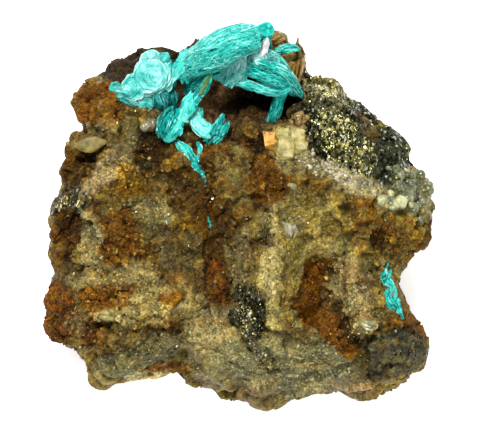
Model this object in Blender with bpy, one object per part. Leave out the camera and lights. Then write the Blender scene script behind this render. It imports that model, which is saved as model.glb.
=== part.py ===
"""A chalcophyllite specimen: turquoise books of thin plates over a dark vug, in a loose lump of
iron-stained quartz with a mass of metallic sulphide. It lies on its back with the crystal side up.

Lengths at the top of the file are millimetres, and the meshes are metres. +X is the right of the
crystal side, +Y its upper edge, and +Z the way it faces. The resting face is at Z 0.
"""

import math
import random

import bmesh
import bpy
import numpy as np
from mathutils import Matrix, Vector, kdtree, noise
from mathutils.bvhtree import BVHTree

MM = 0.001
OBJECT_NAME = "chalcophyllite_specimen"

# Driving dimensions of the rock
OUTLINE_HEIGHT = 7.5  # the widest outline lies this far above the resting face
CROWN_RISE = 9.0  # from the widest outline up to the crystal side
KEEL_DROP = 11.0  # from the widest outline down, before the resting face is cut flat
PROFILE_POWER = 3.4  # 2 is an ellipsoid, and more is squarer in the flank
FLANK_INSET = 0.45  # how far the flank lies inside the outline on average
DATUM = (0.3, -0.25)  # the middle of the whole specimen, in the outline's coordinates
ROCK_TRIANGLES = 4400
SEAT_GAP = 0.3  # left between a crystal and the rock that it grows from
CUTTER_STEP = 0.5
CUTTER_REACH = 22.5

# The rock's outline seen from the crystal side, clockwise from the upper left, as (x, y)
OUTLINE = [
    (-14.0, 16.8), (-13.1, 17.4), (-11.8, 17.6), (-10.0, 18.3), (-8.2, 18.5), (-7.2, 18.1), (-6.3, 18.2),
    (-5.1, 19.1), (-3.3, 19.5), (-1.4, 20.1), (0.8, 20.4), (2.6, 20.5), (4.2, 20.2), (5.1, 19.5),
    (5.4, 18.4), (6.4, 18.5), (7.1, 18.8), (7.5, 17.2), (7.4, 15.9), (8.0, 15.2), (9.3, 15.3),
    (10.4, 14.9), (11.4, 14.2), (11.8, 13.2), (12.6, 12.5), (14.0, 12.2), (14.4, 11.2), (15.7, 10.5),
    (17.0, 9.7), (18.0, 9.0), (18.8, 8.0), (19.0, 6.9), (18.8, 5.9), (19.5, 5.3), (20.8, 4.3),
    (21.3, 3.3), (21.2, 2.4), (21.5, 1.5), (21.4, 0.2), (21.1, -0.8), (21.2, -1.6), (21.4, -2.4),
    (20.3, -3.8), (19.3, -4.1), (18.6, -5.1), (17.9, -5.9), (17.8, -6.7), (17.4, -7.3), (17.9, -8.3),
    (18.3, -9.2), (18.9, -10.0), (19.2, -11.1), (20.2, -11.9), (20.9, -13.0), (21.1, -15.0), (20.8, -16.2),
    (20.1, -17.1), (18.6, -17.9), (17.0, -19.1), (15.4, -19.7), (13.4, -20.6), (12.3, -20.1), (11.3, -19.6),
    (9.6, -19.7), (8.1, -19.5), (7.7, -20.2), (5.3, -20.5), (4.6, -21.2), (3.0, -21.6), (1.3, -21.5),
    (0.8, -20.8), (-0.3, -20.4), (-1.8, -20.0), (-2.9, -19.2), (-5.8, -18.6), (-6.6, -17.7), (-7.5, -17.5),
    (-9.1, -18.0), (-12.4, -18.5), (-13.9, -18.9), (-15.1, -19.5), (-16.2, -18.5), (-16.5, -17.1), (-17.4, -15.4),
    (-17.9, -14.2), (-19.0, -13.8), (-20.0, -14.2), (-20.7, -13.5), (-21.3, -12.2), (-20.9, -11.3), (-21.1, -9.9),
    (-21.0, -8.6), (-20.2, -7.2), (-20.6, -5.2), (-20.7, -2.2), (-20.8, 0.3), (-20.1, 1.3), (-20.0, 2.0),
    (-19.3, 2.9), (-18.9, 3.2), (-19.4, 4.1), (-19.8, 5.2), (-19.0, 6.3), (-18.8, 7.7), (-18.5, 8.7),
    (-17.3, 9.3), (-17.2, 10.3), (-17.8, 10.8), (-18.3, 11.8), (-18.5, 12.7), (-18.1, 13.6), (-16.9, 14.3),
    (-15.7, 15.2), (-14.6, 15.8),
]

# Lumps and hollows of the crystal side: name, (x, y), (half length, half width), turn in degrees, rise
RELIEF = [
    ("left knob", (-15.2, 12.1), (4.0, 3.4), 20, 1.4),
    ("left crevice", (-16.9, 6.3), (2.8, 1.0), 22, -2.4),
    ("shelf over the crevice", (-15.0, 5.0), (3.0, 1.2), 30, 0.9),
    ("left pocket", (-18.4, -1.4), (2.8, 1.3), 85, -1.9),
    ("left ridge", (-14.5, -2.0), (5.0, 2.0), 80, 0.5),
    ("lower left knob", (-19.6, -10.6), (3.4, 1.7), 80, 1.5),
    ("lower left hollow", (-16.7, -9.6), (2.2, 1.2), 30, -1.0),
    ("ochre ledge", (-14.2, -8.3), (3.4, 1.2), 5, 0.9),
    ("rusty pit", (-12.6, -9.8), (1.6, 1.0), 10, -1.2),
    ("small pit", (-9.4, -9.4), (1.3, 0.9), -20, -1.1),
    ("red groove", (-2.4, -5.0), (5.6, 1.5), 84, -2.0),
    ("groove mouth", (-3.4, 0.6), (2.2, 1.7), 60, -1.3),
    ("quartz rib", (3.9, -5.0), (9.0, 1.5), 89, 0.9),
    ("quartz trough", (7.0, -6.0), (6.0, 1.3), 85, -0.8),
    ("rusty recess", (9.4, -9.2), (6.0, 2.4), 105, -2.2),
    ("recess lip", (12.5, -7.4), (3.0, 1.8), 120, 0.8),
    ("diagonal crevice", (12.4, -13.2), (3.6, 0.9), -50, -2.2),
    ("pale boss", (14.1, -12.2), (1.6, 1.1), -20, 1.1),
    ("dark lower lump", (17.2, -15.6), (4.0, 2.9), 15, 2.0),
    ("lower right boss", (12.6, -18.4), (2.8, 2.0), 10, 1.0),
    ("lower middle boss", (3.0, -19.6), (2.6, 1.8), 0, 1.2),
    ("lower shelf", (-1.0, -14.0), (7.0, 1.6), -10, 0.7),
    ("dark seam", (1.6, -12.8), (3.2, 0.9), -52, -0.9),
    ("lower left foot", (-14.5, -17.0), (3.0, 2.0), 20, 0.7),
    ("sulphide dome", (11.6, 9.2), (6.6, 4.6), -45, 1.9),
    ("sulphide crest", (10.4, 13.4), (2.6, 1.9), -20, 1.2),
    ("dark right lump", (17.4, 7.1), (2.5, 2.4), 0, 2.0),
    ("sulphide cleft", (15.5, 4.6), (2.8, 0.8), 80, -1.6),
    ("green quartz boss", (18.6, 2.2), (3.2, 2.8), 0, 1.0),
    ("brown right boss", (17.6, -2.6), (3.0, 3.0), 0, 0.8),
    ("right crevice", (16.2, -3.6), (2.4, 0.7), -60, -1.4),
    ("front rim of the vug", (-6.5, 6.2), (4.0, 2.2), -10, 0.9),
    ("rust boss below the rim", (3.6, 4.0), (2.8, 1.9), 20, 0.8),
    ("middle hollow", (-6.0, 1.0), (3.0, 2.0), 30, -0.7),
]

# The vug: a hollow with steep walls, as (x, y), (half length, half width), turn, depth below the rim
VUG_HOLLOWS = [
    ((-1.4, 13.1), (7.6, 4.4), 4, 7.7),
    ((-10.4, 14.6), (3.6, 2.6), 10, 2.6),
    ((4.0, 12.3), (3.6, 3.1), 10, 5.8),
]
VUG_WALL = 0.35  # share of the hollow's half width that its wall takes
VUG_LEDGE = ((1.4, 10.2), (1.9, 1.6), 20, 3.4)  # a brown step inside the front wall

# Crystals and lumps that grew on the rock as part of it: name, sides, (x, y), height of the tip over
# the surface, (length, width, depth), turn in degrees, lean in degrees
GROWN_ON = [
    ("brown blade", 4, (6.3, 16.4), 1.4, (5.6, 2.2, 4.5), 78, 4),
    ("brown knob", 6, (4.5, 19.0), 0.7, (1.9, 1.7, 3.4), 30, 8),
    ("left blade", 4, (-15.9, 7.6), 0.6, (4.2, 1.6, 2.6), 9, 6),
    ("clear quartz", 6, (-10.0, 9.3), 1.1, (2.6, 2.1, 3.2), 55, 12),
    ("orange quartz", 4, (3.5, 8.1), 0.9, (2.0, 1.9, 3.0), 8, 10),
    ("pale quartz block", 5, (5.7, 7.3), 1.0, (4.0, 3.0, 3.4), 60, 10),
    ("vug quartz", 6, (6.9, 10.4), 0.8, (2.4, 2.0, 2.8), 20, 16),
    ("round quartz", 7, (5.4, 2.9), 0.5, (1.5, 1.3, 1.6), 0, 0),
    ("green quartz a", 7, (16.2, 1.2), 0.7, (1.4, 1.2, 1.8), 0, 0),
    ("green quartz b", 7, (18.0, 1.6), 0.7, (1.6, 1.3, 1.8), 30, 0),
    ("green quartz c", 7, (20.3, 2.8), 0.5, (2.0, 1.7, 2.2), 60, 0),
    ("green quartz d", 7, (20.4, -0.2), 0.5, (2.2, 1.6, 2.4), 20, 0),
    ("white quartz", 5, (6.2, -1.4), 0.5, (1.5, 1.0, 1.6), 100, 14),
    ("pink quartz", 5, (14.1, -12.1), 0.7, (1.9, 1.4, 2.0), -20, 8),
    ("pale left lump", 6, (-14.3, -11.0), 0.7, (2.2, 1.4, 2.0), -8, 0),
]

# Books of plates seen on edge: spine as (x, y, z, width), depth over width, ridges on the upper side.
ARCH_BOOKS = [
    ("main book", [(-5.9, 15.8, 13.7, 2.2), (-3.6, 17.3, 16.7, 3.1), (-1.5, 18.4, 18.7, 3.5),
              (0.5, 19.2, 19.2, 3.5), (2.2, 19.3, 18.4, 2.9)], 0.85, 4),
    ("rear book", [(-5.7, 17.6, 14.2, 1.4), (-5.8, 16.2, 15.4, 1.5), (-5.8, 15.0, 14.6, 1.3)], 0.8, 2),
    ("shoulder", [(1.0, 19.7, 18.2, 1.8), (2.6, 20.0, 17.0, 1.9), (3.7, 19.5, 14.8, 1.7),
                  (4.0, 18.9, 12.6, 1.5)], 0.8, 2),
    ("left foot", [(-2.6, 16.0, 16.4, 1.8), (-4.2, 14.7, 14.8, 1.3), (-5.4, 13.8, 12.6, 1.1)], 0.9, 2),
    ("right bundle", [(0.6, 16.8, 16.6, 1.6), (2.6, 15.8, 17.6, 2.1), (4.2, 15.2, 17.4, 2.5),
                      (5.7, 14.5, 16.0, 2.3), (6.7, 13.4, 12.8, 1.7)], 0.8, 3),
    ("outer bundle", [(2.9, 17.9, 16.3, 1.0), (4.6, 17.0, 16.7, 1.2), (5.8, 15.8, 15.9, 1.1),
                      (6.6, 14.2, 14.0, 1.0)], 0.9, 2),
    ("arm", [(-0.6, 14.7, 15.1, 0.9), (1.3, 14.2, 15.6, 1.1), (3.0, 13.7, 15.7, 1.2),
             (4.4, 13.5, 15.6, 1.2), (5.4, 13.9, 15.7, 1.1)], 0.9, 2),
    ("leg", [(5.0, 14.3, 15.6, 1.2), (4.5, 13.0, 15.0, 1.1), (4.0, 11.8, 13.3, 1.1),
             (3.8, 10.7, 11.2, 1.4), (3.8, 9.8, 8.8, 1.6)], 0.8, 2),
]
ROSETTE_BOOKS = [
    ("left fan", [(-13.1, 13.6, 13.9, 1.6), (-12.0, 13.1, 14.9, 1.9), (-10.9, 12.4, 14.2, 1.6)], 0.7, 3),
    ("round barrel", [(-8.9, 13.9, 14.0, 1.6), (-8.4, 12.7, 15.1, 2.0), (-8.1, 11.3, 13.0, 1.5)], 0.9, 3),
    ("rear barrel", [(-7.6, 14.0, 13.2, 1.0), (-7.2, 12.9, 14.0, 1.2), (-7.3, 11.6, 12.6, 1.0)], 0.9, 2),
]
STRAP_BOOKS = [
    ("strap book", [(-2.8, 15.6, 16.4, 0.6), (-3.5, 14.2, 17.2, 0.9), (-4.4, 12.9, 17.3, 1.1),
                    (-5.3, 11.7, 17.0, 1.1)], 0.7, 2),
    ("leaf", [(-5.2, 12.9, 17.0, 1.2), (-5.7, 11.5, 17.2, 1.7), (-6.4, 10.2, 16.7, 1.4)], 0.35, 0),
    ("fan", [(-7.3, 11.4, 16.2, 1.6), (-7.9, 10.0, 17.3, 2.5), (-8.2, 8.6, 16.4, 1.8)], 0.6, 3),
    ("fan leaf", [(-6.6, 11.3, 16.6, 0.9), (-7.1, 9.9, 17.1, 1.2), (-8.0, 8.5, 16.4, 0.9)], 0.6, 1),
]
CURL_BOOKS = [
    ("curl leaf", [(-4.4, 11.4, 15.6, 1.3), (-4.5, 10.2, 16.6, 1.5), (-3.6, 9.2, 16.9, 1.5),
                   (-2.6, 8.8, 16.4, 1.3)], 0.5, 0),
    ("curl fan", [(-3.3, 8.2, 16.2, 0.9), (-2.5, 9.4, 17.0, 1.0), (-1.8, 10.6, 16.2, 0.8)], 0.8, 2),
    ("curl tail", [(-2.4, 8.2, 16.1, 0.9), (-1.8, 9.0, 16.7, 1.1), (-1.3, 9.8, 16.0, 0.8)], 0.8, 2),
]
# Stacks of discs: (x, y, z) of the top plate, (lean towards +x, lean towards +y) in degrees, radius, plates
ARCH_DISCS = [
    ("under plates", (-0.9, 16.2, 16.6), (6, -32), 1.9, 2),
    ("pale cap", (2.8, 16.8, 17.2), (8, -20), 1.25, 2),
    ("tip", (3.1, 20.3, 17.2), (15, 25), 0.85, 2),
]
ROSETTE_DISCS = [
    ("main disc", (-9.6, 15.2, 16.2), (-12, 6), 1.75, 4),
    ("top disc", (-9.5, 17.3, 15.4), (-6, 22), 1.25, 3),
    ("upper disc", (-8.1, 17.1, 15.0), (10, 18), 0.7, 2),
    ("left disc", (-11.5, 14.0, 15.5), (-22, 4), 1.35, 3),
    ("lower disc", (-10.1, 12.1, 15.0), (4, -24), 0.85, 2),
    ("left flake", (-13.5, 13.9, 14.2), (-20, -10), 0.6, 2),
]
PLATE_THICKNESS = 0.45  # of one step of a disc stack
WHITE_BLADE = ((3.0, 18.1, 16.9), (2.3, 0.8, 0.5), 72)  # middle, size and turn of the white plate

# Thin pieces that lie on the rock: spine as (x, y, width), and how far they stand out of it
SPRIG_SPINES = [
    [(-6.4, 7.7, 0.6), (-5.6, 6.8, 0.9), (-4.9, 6.1, 0.8), (-4.4, 5.4, 0.4)],
    [(-4.4, 7.9, 0.4), (-4.3, 7.1, 0.5), (-4.5, 6.2, 0.5)],
]
EDGE_FILM_SPINES = [
    [(16.3, -5.6, 0.5), (15.8, -6.5, 0.8), (16.1, -7.4, 0.9), (16.6, -8.4, 1.0), (16.5, -9.2, 0.9),
     (17.2, -10.2, 1.0), (17.9, -11.3, 0.6)],
]
FLAKE_SPINE = [(4.5, 18.0, 14.6, 0.6), (5.3, 18.2, 15.2, 0.8), (6.3, 18.25, 15.4, 0.6)]
SPRIG_STANDS_OUT = 1.0
FILM_STANDS_OUT = 0.9
FILM_DEPTH = 1.1  # of a thin piece's section, before its foot is cut

# Colours of the finishes, and their roughness and metallic values
ROCK_LOOK = ((0.30, 0.20, 0.09), 0.65, 0.0)
CRYSTAL_LOOK = ((0.09, 0.62, 0.56), 0.45, 0.0)
PALE_CRYSTAL_LOOK = ((0.30, 0.78, 0.72), 0.4, 0.0)


def clear_scene():
    for obj in list(bpy.data.objects):
        bpy.data.objects.remove(obj)


def new_collection(name):
    collection = bpy.data.collections.new(name)
    bpy.context.scene.collection.children.link(collection)
    return collection


def material(name, look):
    colour, roughness, metallic = look
    made = bpy.data.materials.new(name)
    made.use_nodes = True
    shader = made.node_tree.nodes["Principled BSDF"]
    shader.inputs["Base Color"].default_value = (*colour, 1.0)
    shader.inputs["Roughness"].default_value = roughness
    shader.inputs["Metallic"].default_value = metallic
    return made


def placed(point):
    """A point in the outline's millimetres, as metres from the specimen's own middle."""
    x, y, z = point
    return Vector(((x - DATUM[0]) * MM, (y - DATUM[1]) * MM, z * MM))


def object_from(bm, name, collection):
    bmesh.ops.recalc_face_normals(bm, faces=bm.faces)
    if bm.calc_volume(signed=True) < 0:
        bmesh.ops.reverse_faces(bm, faces=bm.faces)
    mesh = bpy.data.meshes.new(name)
    bm.to_mesh(mesh)
    bm.free()
    obj = bpy.data.objects.new(name, mesh)
    collection.objects.link(obj)
    return obj


def as_helper(obj):
    obj.hide_render = True
    obj.display_type = "WIRE"
    return obj


def evaluated_mesh(obj):
    graph = bpy.context.evaluated_depsgraph_get()
    return bpy.data.meshes.new_from_object(obj.evaluated_get(graph), depsgraph=graph)


def bump(x, y, centre, half, turn, edge=1.0):
    """0 outside an ellipse and 1 inside, with a smooth edge that takes this share of its half width."""
    angle = math.radians(turn)
    dx, dy = x - centre[0], y - centre[1]
    along = (dx * math.cos(angle) + dy * math.sin(angle)) / half[0]
    beside = (-dx * math.sin(angle) + dy * math.cos(angle)) / half[1]
    inside = min(1.0, max(0.0, (1.0 - math.hypot(along, beside)) / edge))
    return inside * inside * (3.0 - 2.0 * inside)


class Fracture:
    """Flat break faces: space is shared among scattered points, and each has its own tilted plane."""

    def __init__(self, spacing, tilt, seed):
        draw = random.Random(seed)
        reach = 24.0
        count = int((2 * reach / spacing) ** 2 * (reach / spacing))
        self.tree = kdtree.KDTree(count)
        self.planes = []
        for i in range(count):
            point = Vector((draw.uniform(-reach, reach), draw.uniform(-reach, reach), draw.uniform(-4, 20)))
            self.tree.insert(point, i)
            slope = Vector([draw.uniform(-tilt, tilt) for _ in range(3)])
            self.planes.append((point, slope, draw.uniform(-0.1, 0.1) * spacing))
        self.tree.balance()

    def offset(self, point):
        centre, slope, lift = self.planes[self.tree.find(point)[1]]
        return slope.dot(point - centre) + lift


def outline_radius():
    """The outline as a function of the angle, about the outline's own middle."""
    points = sorted((math.atan2(y, x), math.hypot(x, y)) for x, y in OUTLINE)
    angles = np.array([a for a, _ in points])
    radii = np.array([r for _, r in points])
    return lambda angle: float(np.interp(angle, angles, radii, period=2 * math.pi))


def rock_point(direction, radius_at, coarse, fine):
    """Where a point of the unit sphere goes on the rock: outline and flank, then lumps, hollows and breaks."""
    flat = math.hypot(direction.x, direction.y)
    scale = (flat**PROFILE_POWER + abs(direction.z) ** PROFILE_POWER) ** (-1.0 / PROFILE_POWER)
    angle = math.atan2(direction.y, direction.x)
    reach = radius_at(angle) * flat * scale
    rise = direction.z * scale
    below = max(0.0, -rise)
    reach *= 1.0 - 0.16 * below
    x, y = reach * math.cos(angle), reach * math.sin(angle)
    z = OUTLINE_HEIGHT + rise * (CROWN_RISE if rise > 0 else KEEL_DROP)
    outward = Vector((math.cos(angle) * flat, math.sin(angle) * flat, direction.z)).normalized()
    point = Vector((x, y, z))
    wave = noise.fractal(point * 0.16, 1.0, 2.0, 3) * 0.75 + noise.fractal(point * 0.55, 1.0, 2.0, 3) * 0.35
    breaks = coarse.offset(point) + fine.offset(point)
    point += outward * (wave + breaks - FLANK_INSET * flat)
    spread = math.hypot(point.x, point.y)
    limit = radius_at(math.atan2(point.y, point.x))
    if spread > limit:
        point.x *= limit / spread
        point.y *= limit / spread
    crown = min(1.0, max(0.0, rise / 0.5))
    point.z -= 0.10 * max(0.0, -point.y - 13.0) * crown
    point.z -= 0.12 * max(0.0, point.x + point.y - 17.0) * crown
    for _, centre, half, turn, height in RELIEF:
        point.z += height * bump(x, y, centre, half, turn) * crown
    for centre, half, turn, depth in VUG_HOLLOWS:
        floor = OUTLINE_HEIGHT + CROWN_RISE - depth + 0.4 * wave
        inside = bump(x, y, centre, half, turn, VUG_WALL)
        point.z += min(0.0, floor - point.z) * inside * crown
    centre, half, turn, height = VUG_LEDGE
    point.z += height * bump(x, y, centre, half, turn, 0.6) * crown
    return point


def grown_crystal(spec, surface, collection):
    """A tapered prism with flat faces and a chisel tip, sunk in the rock."""
    name, sides, (x, y), stands_out, (length, width, depth), turn, lean = spec
    bm = bmesh.new()
    bmesh.ops.create_cone(
        bm, cap_ends=True, segments=sides, radius1=0.62, radius2=0.34, depth=1.0,
        matrix=Matrix.Translation((0, 0, -0.5)),
    )
    for vertex in bm.verts:
        if vertex.co.z > -0.01:
            vertex.co.z -= 0.12 * abs(vertex.co.y) / 0.34
    shape = Matrix.Diagonal((length * MM, width * MM, depth * MM, 1.0))
    turned = Matrix.Rotation(math.radians(turn), 4, "Z") @ Matrix.Rotation(math.radians(lean), 4, "X")
    tip = placed((x, y, surface(x, y) + stands_out))
    bm.transform(Matrix.Translation(tip) @ turned @ shape)
    return as_helper(object_from(bm, name, collection))


def height_finder(mesh):
    """A function that gives the height of a mesh's upper surface at (x, y), all in millimetres."""
    bm = bmesh.new()
    bm.from_mesh(mesh)
    tree = BVHTree.FromBMesh(bm)
    bm.free()

    def height(x, y):
        start = placed((x, y, 60.0))
        hit = tree.ray_cast(start, Vector((0, 0, -1)))[0]
        return OUTLINE_HEIGHT if hit is None else hit.z / MM

    return height


def boolean(obj, operation, collection=None, other=None):
    modifier = obj.modifiers.new(operation.lower(), "BOOLEAN")
    modifier.operation = operation
    modifier.solver = "EXACT"
    modifier.use_self = True
    if collection is None:
        modifier.object = other
    else:
        modifier.operand_type = "COLLECTION"
        modifier.collection = collection
    return modifier


def bake_modifiers(obj):
    """Replaces an object's mesh by the one that its modifiers give."""
    mesh = evaluated_mesh(obj)
    obj.modifiers.clear()
    obj.data = mesh


def build_matrix(parts, helpers):
    """The rock: a sphere shaped to the outline and relief, with grown crystals and a flat resting face."""
    radius_at = outline_radius()
    coarse, fine = Fracture(5.0, 0.16, 3), Fracture(2.0, 0.20, 8)
    bm = bmesh.new()
    bmesh.ops.create_icosphere(bm, subdivisions=6, radius=1.0)
    for vertex in bm.verts:
        vertex.co = placed(rock_point(vertex.co.normalized(), radius_at, coarse, fine))
    rock = object_from(bm, "matrix", parts)
    surface = height_finder(rock.data)

    worn = rock.modifiers.new("worn edges", "SMOOTH")
    worn.factor = 0.5
    worn.iterations = 1
    thin = rock.modifiers.new("fewer faces", "DECIMATE")
    thin.ratio = ROCK_TRIANGLES / len(rock.data.polygons)
    bake_modifiers(rock)
    grown = new_collection("grown_on_crystals")
    for spec in GROWN_ON:
        grown_crystal(spec, surface, grown)
    boolean(rock, "UNION", collection=grown)
    bm = bmesh.new()
    bmesh.ops.create_cube(bm, size=1.0, matrix=Matrix.Translation((0, 0, -0.5)))
    bm.transform(Matrix.Diagonal((0.08, 0.08, 0.02, 1.0)))
    below = as_helper(object_from(bm, "below_the_resting_face", helpers))
    boolean(rock, "DIFFERENCE", other=below)
    bake_modifiers(rock)
    rock.data.shade_flat()
    return rock


def seat_cutter(surface, helpers):
    """A solid with its top just over the rock, on a square grid, which cuts the foot of each crystal."""
    cells = round(2 * CUTTER_REACH / CUTTER_STEP)
    along = [CUTTER_STEP * i - CUTTER_REACH for i in range(cells + 1)]
    raw = np.array([[surface(x, y) for x in along] for y in along])
    padded = np.pad(raw, 1, mode="edge")
    size = cells + 1
    shifted = [padded[r : r + size, c : c + size] for r in range(3) for c in range(3)]
    top = np.max(shifted, axis=0) + SEAT_GAP

    bm = bmesh.new()
    bmesh.ops.create_grid(bm, x_segments=cells, y_segments=cells, size=CUTTER_REACH)
    under = list(bm.verts)
    grid = [*bm.verts, *bm.edges, *bm.faces]
    raised = bmesh.ops.extrude_face_region(bm, geom=grid, use_keep_orig=True)["geom"]
    for vertex in under:
        vertex.co.z = 1.0
    for vertex in raised:
        if isinstance(vertex, bmesh.types.BMVert):
            column = round((vertex.co.x + CUTTER_REACH) / CUTTER_STEP)
            row = round((vertex.co.y + CUTTER_REACH) / CUTTER_STEP)
            vertex.co.z = top[row][column]
    for vertex in bm.verts:
        vertex.co = placed(vertex.co)
    return as_helper(object_from(bm, "seat_cutter", helpers))


def ridged_section(name, thickness, ridges, helpers):
    """A book's section, one unit wide: flat below, and ridged above where the plates' edges show."""
    half = thickness / 2
    top = [(0.5, half * 0.55)]
    steps = max(1, 2 * ridges)
    for i in range(steps + 1):
        across = 0.42 - 0.84 * i / steps
        crown = half * (1.0 - 0.8 * across * across)
        top.append((across, crown - (0.09 if ridges and i % 2 else 0.0)))
    top.append((-0.5, half * 0.55))
    section = [*top, (-0.44, -half * 0.8), (0.0, -half), (0.44, -half * 0.8)]
    curve = bpy.data.curves.new(name, "CURVE")
    curve.dimensions = "2D"
    spline = curve.splines.new("POLY")
    spline.points.add(len(section) - 1)
    for point, (x, y) in zip(spline.points, section):
        point.co = (x * MM, y * MM, 0, 1)
    spline.use_cyclic_u = True
    obj = bpy.data.objects.new(name, curve)
    helpers.objects.link(obj)
    return as_helper(obj)


def swept(name, spine, section, collection, helpers):
    """A section swept along a smooth spine of (x, y, z, width), as a closed mesh."""
    curve = bpy.data.curves.new(name, "CURVE")
    curve.dimensions = "3D"
    curve.twist_mode = "Z_UP"
    curve.resolution_u = 2
    curve.bevel_mode = "OBJECT"
    curve.bevel_object = section
    curve.use_fill_caps = True
    spline = curve.splines.new("BEZIER")
    spline.bezier_points.add(len(spine) - 1)
    for point, (x, y, z, width) in zip(spline.bezier_points, spine):
        point.co = placed((x, y, z))
        point.radius = width
        point.handle_left_type = point.handle_right_type = "AUTO"
    guide = bpy.data.objects.new(name + " guide", curve)
    helpers.objects.link(guide)
    mesh = evaluated_mesh(guide)
    bpy.data.objects.remove(guide)
    bm = bmesh.new()
    bm.from_mesh(mesh)
    bmesh.ops.remove_doubles(bm, verts=bm.verts, dist=0.00001)
    return as_helper(object_from(bm, name, collection))


def add_books(books, collection, helpers):
    for name, spine, thickness, ridges in books:
        section = ridged_section(name + " section", thickness, ridges, helpers)
        swept(name, spine, section, collection, helpers)


def add_discs(discs, collection, seed):
    """Stacks of many-sided plates, each a step smaller and turned from the one below."""
    draw = random.Random(seed)
    for name, top, (lean_x, lean_y), radius, plates in discs:
        lean = Matrix.Rotation(math.radians(lean_x), 4, "Y") @ Matrix.Rotation(math.radians(-lean_y), 4, "X")
        for i in range(plates):
            bm = bmesh.new()
            size = radius * (1.0 + 0.10 * i) * MM
            bmesh.ops.create_cone(
                bm, cap_ends=True, segments=9, radius1=size * 1.04, radius2=size,
                depth=PLATE_THICKNESS * 1.5 * MM,
            )
            for vertex in bm.verts:
                vertex.co.x *= draw.uniform(0.93, 1.05)
                vertex.co.y *= draw.uniform(0.93, 1.05)
            down = Matrix.Translation((0, 0, -(i + 0.75) * PLATE_THICKNESS * MM))
            spin = Matrix.Rotation(draw.uniform(0, math.pi), 4, "Z")
            bm.transform(Matrix.Translation(placed(top)) @ lean @ down @ spin)
            as_helper(object_from(bm, f"{name} {i}", collection))


def add_box(name, middle, size, turn, collection):
    bm = bmesh.new()
    bmesh.ops.create_cube(bm, size=1.0)
    shape = Matrix.Diagonal((size[0] * MM, size[1] * MM, size[2] * MM, 1.0))
    bm.transform(Matrix.Translation(placed(middle)) @ Matrix.Rotation(math.radians(turn), 4, "Z") @ shape)
    return as_helper(object_from(bm, name, collection))


def keep_largest_body(mesh):
    """Drops the crumbs that a cut leaves beside the main body."""
    bm = bmesh.new()
    bm.from_mesh(mesh)
    waiting = set(bm.verts)
    bodies = []
    while waiting:
        body = set()
        edge_of_body = [waiting.pop()]
        while edge_of_body:
            vertex = edge_of_body.pop()
            body.add(vertex)
            found = {edge.other_vert(vertex) for edge in vertex.link_edges} & waiting
            waiting -= found
            edge_of_body.extend(found)
        bodies.append(body)
    largest = max(bodies, key=len)
    bmesh.ops.delete(bm, geom=[v for body in bodies if body is not largest for v in body], context="VERTS")
    bm.to_mesh(mesh)
    bm.free()


def fused(name, collection, parts, cutter):
    """One solid from a collection of overlapping books and discs, cut clear of the rock."""
    shapes = list(collection.objects)
    piece = bpy.data.objects.new(name, shapes[0].data.copy())
    parts.objects.link(piece)
    collection.objects.unlink(shapes[0])
    if len(shapes) > 1:
        boolean(piece, "UNION", collection=collection)
        bake_modifiers(piece)
    boolean(piece, "DIFFERENCE", other=cutter)
    bake_modifiers(piece)
    keep_largest_body(piece.data)
    return piece


def laid_spine(spine, surface, stands_out):
    """A spine on the rock's surface, its section sunk so that only its top stands out."""
    laid = []
    for x, y, width in spine:
        near = [surface(x + dx, y + dy) for dx in (-CUTTER_STEP, 0, CUTTER_STEP) for dy in (-CUTTER_STEP, 0, CUTTER_STEP)]
        laid.append((x, y, max(near) + stands_out - FILM_DEPTH / 2, width))
    return laid


def add_laid(name, spines, stands_out, surface, collection, helpers):
    for i, spine in enumerate(spines):
        laid = laid_spine(spine, surface, stands_out)
        middle_width = sorted(point[-1] for point in laid)[len(laid) // 2]
        section = ridged_section(f"{name} section {i}", FILM_DEPTH / middle_width, 1, helpers)
        swept(f"{name} {i}", laid, section, collection, helpers)


def build_crystals(parts, helpers, surface, cutter):
    """Every chalcophyllite piece, each its own solid."""
    arch = new_collection("arch_shapes")
    add_books(ARCH_BOOKS + STRAP_BOOKS, arch, helpers)
    add_discs(ARCH_DISCS, arch, seed=5)
    add_box("white blade", *WHITE_BLADE, arch)
    rosette = new_collection("rosette_shapes")
    add_books(ROSETTE_BOOKS, rosette, helpers)
    add_discs(ROSETTE_DISCS, rosette, seed=6)
    curl = new_collection("curl_shapes")
    add_books(CURL_BOOKS, curl, helpers)
    sprig = new_collection("sprig_shapes")
    add_laid("sprig", SPRIG_SPINES, SPRIG_STANDS_OUT, surface, sprig, helpers)
    film = new_collection("edge_film_shapes")
    add_laid("edge film", EDGE_FILM_SPINES, FILM_STANDS_OUT, surface, film, helpers)
    flake = new_collection("flake_shapes")
    add_books([("flake plate", FLAKE_SPINE, 0.5, 0)], flake, helpers)
    groups = {"arch": arch, "rosette": rosette, "curl": curl, "sprig": sprig,
              "edge_film": film, "flake": flake}
    return [fused(name, group, parts, cutter) for name, group in groups.items()]


def main():
    clear_scene()
    parts = new_collection(OBJECT_NAME)
    helpers = new_collection("cutters_and_guides")
    rock = build_matrix(parts, helpers)
    rock.data.materials.clear()
    rock.data.materials.append(material("iron stained quartz", ROCK_LOOK))
    surface = height_finder(rock.data)
    cutter = seat_cutter(surface, helpers)
    turquoise = material("chalcophyllite", CRYSTAL_LOOK)
    pale = material("pale chalcophyllite", PALE_CRYSTAL_LOOK)
    for piece in build_crystals(parts, helpers, surface, cutter):
        piece.data.materials.clear()
        piece.data.materials.append(pale if piece.name in ("rosette", "curl") else turquoise)


main()
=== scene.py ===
"""The looks of the chalcophyllite specimen: stained quartz and sulphide rock, books and discs of turquoise
plates, loose grains, floor, light and camera.

Lengths are millimetres, in the outline's coordinates that the CAD part uses, and meshes are metres.
"""

import json
import math

import bmesh
import bpy
import numpy as np
from mathutils import Euler, Matrix, Vector
from mathutils.bvhtree import BVHTree


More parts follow.
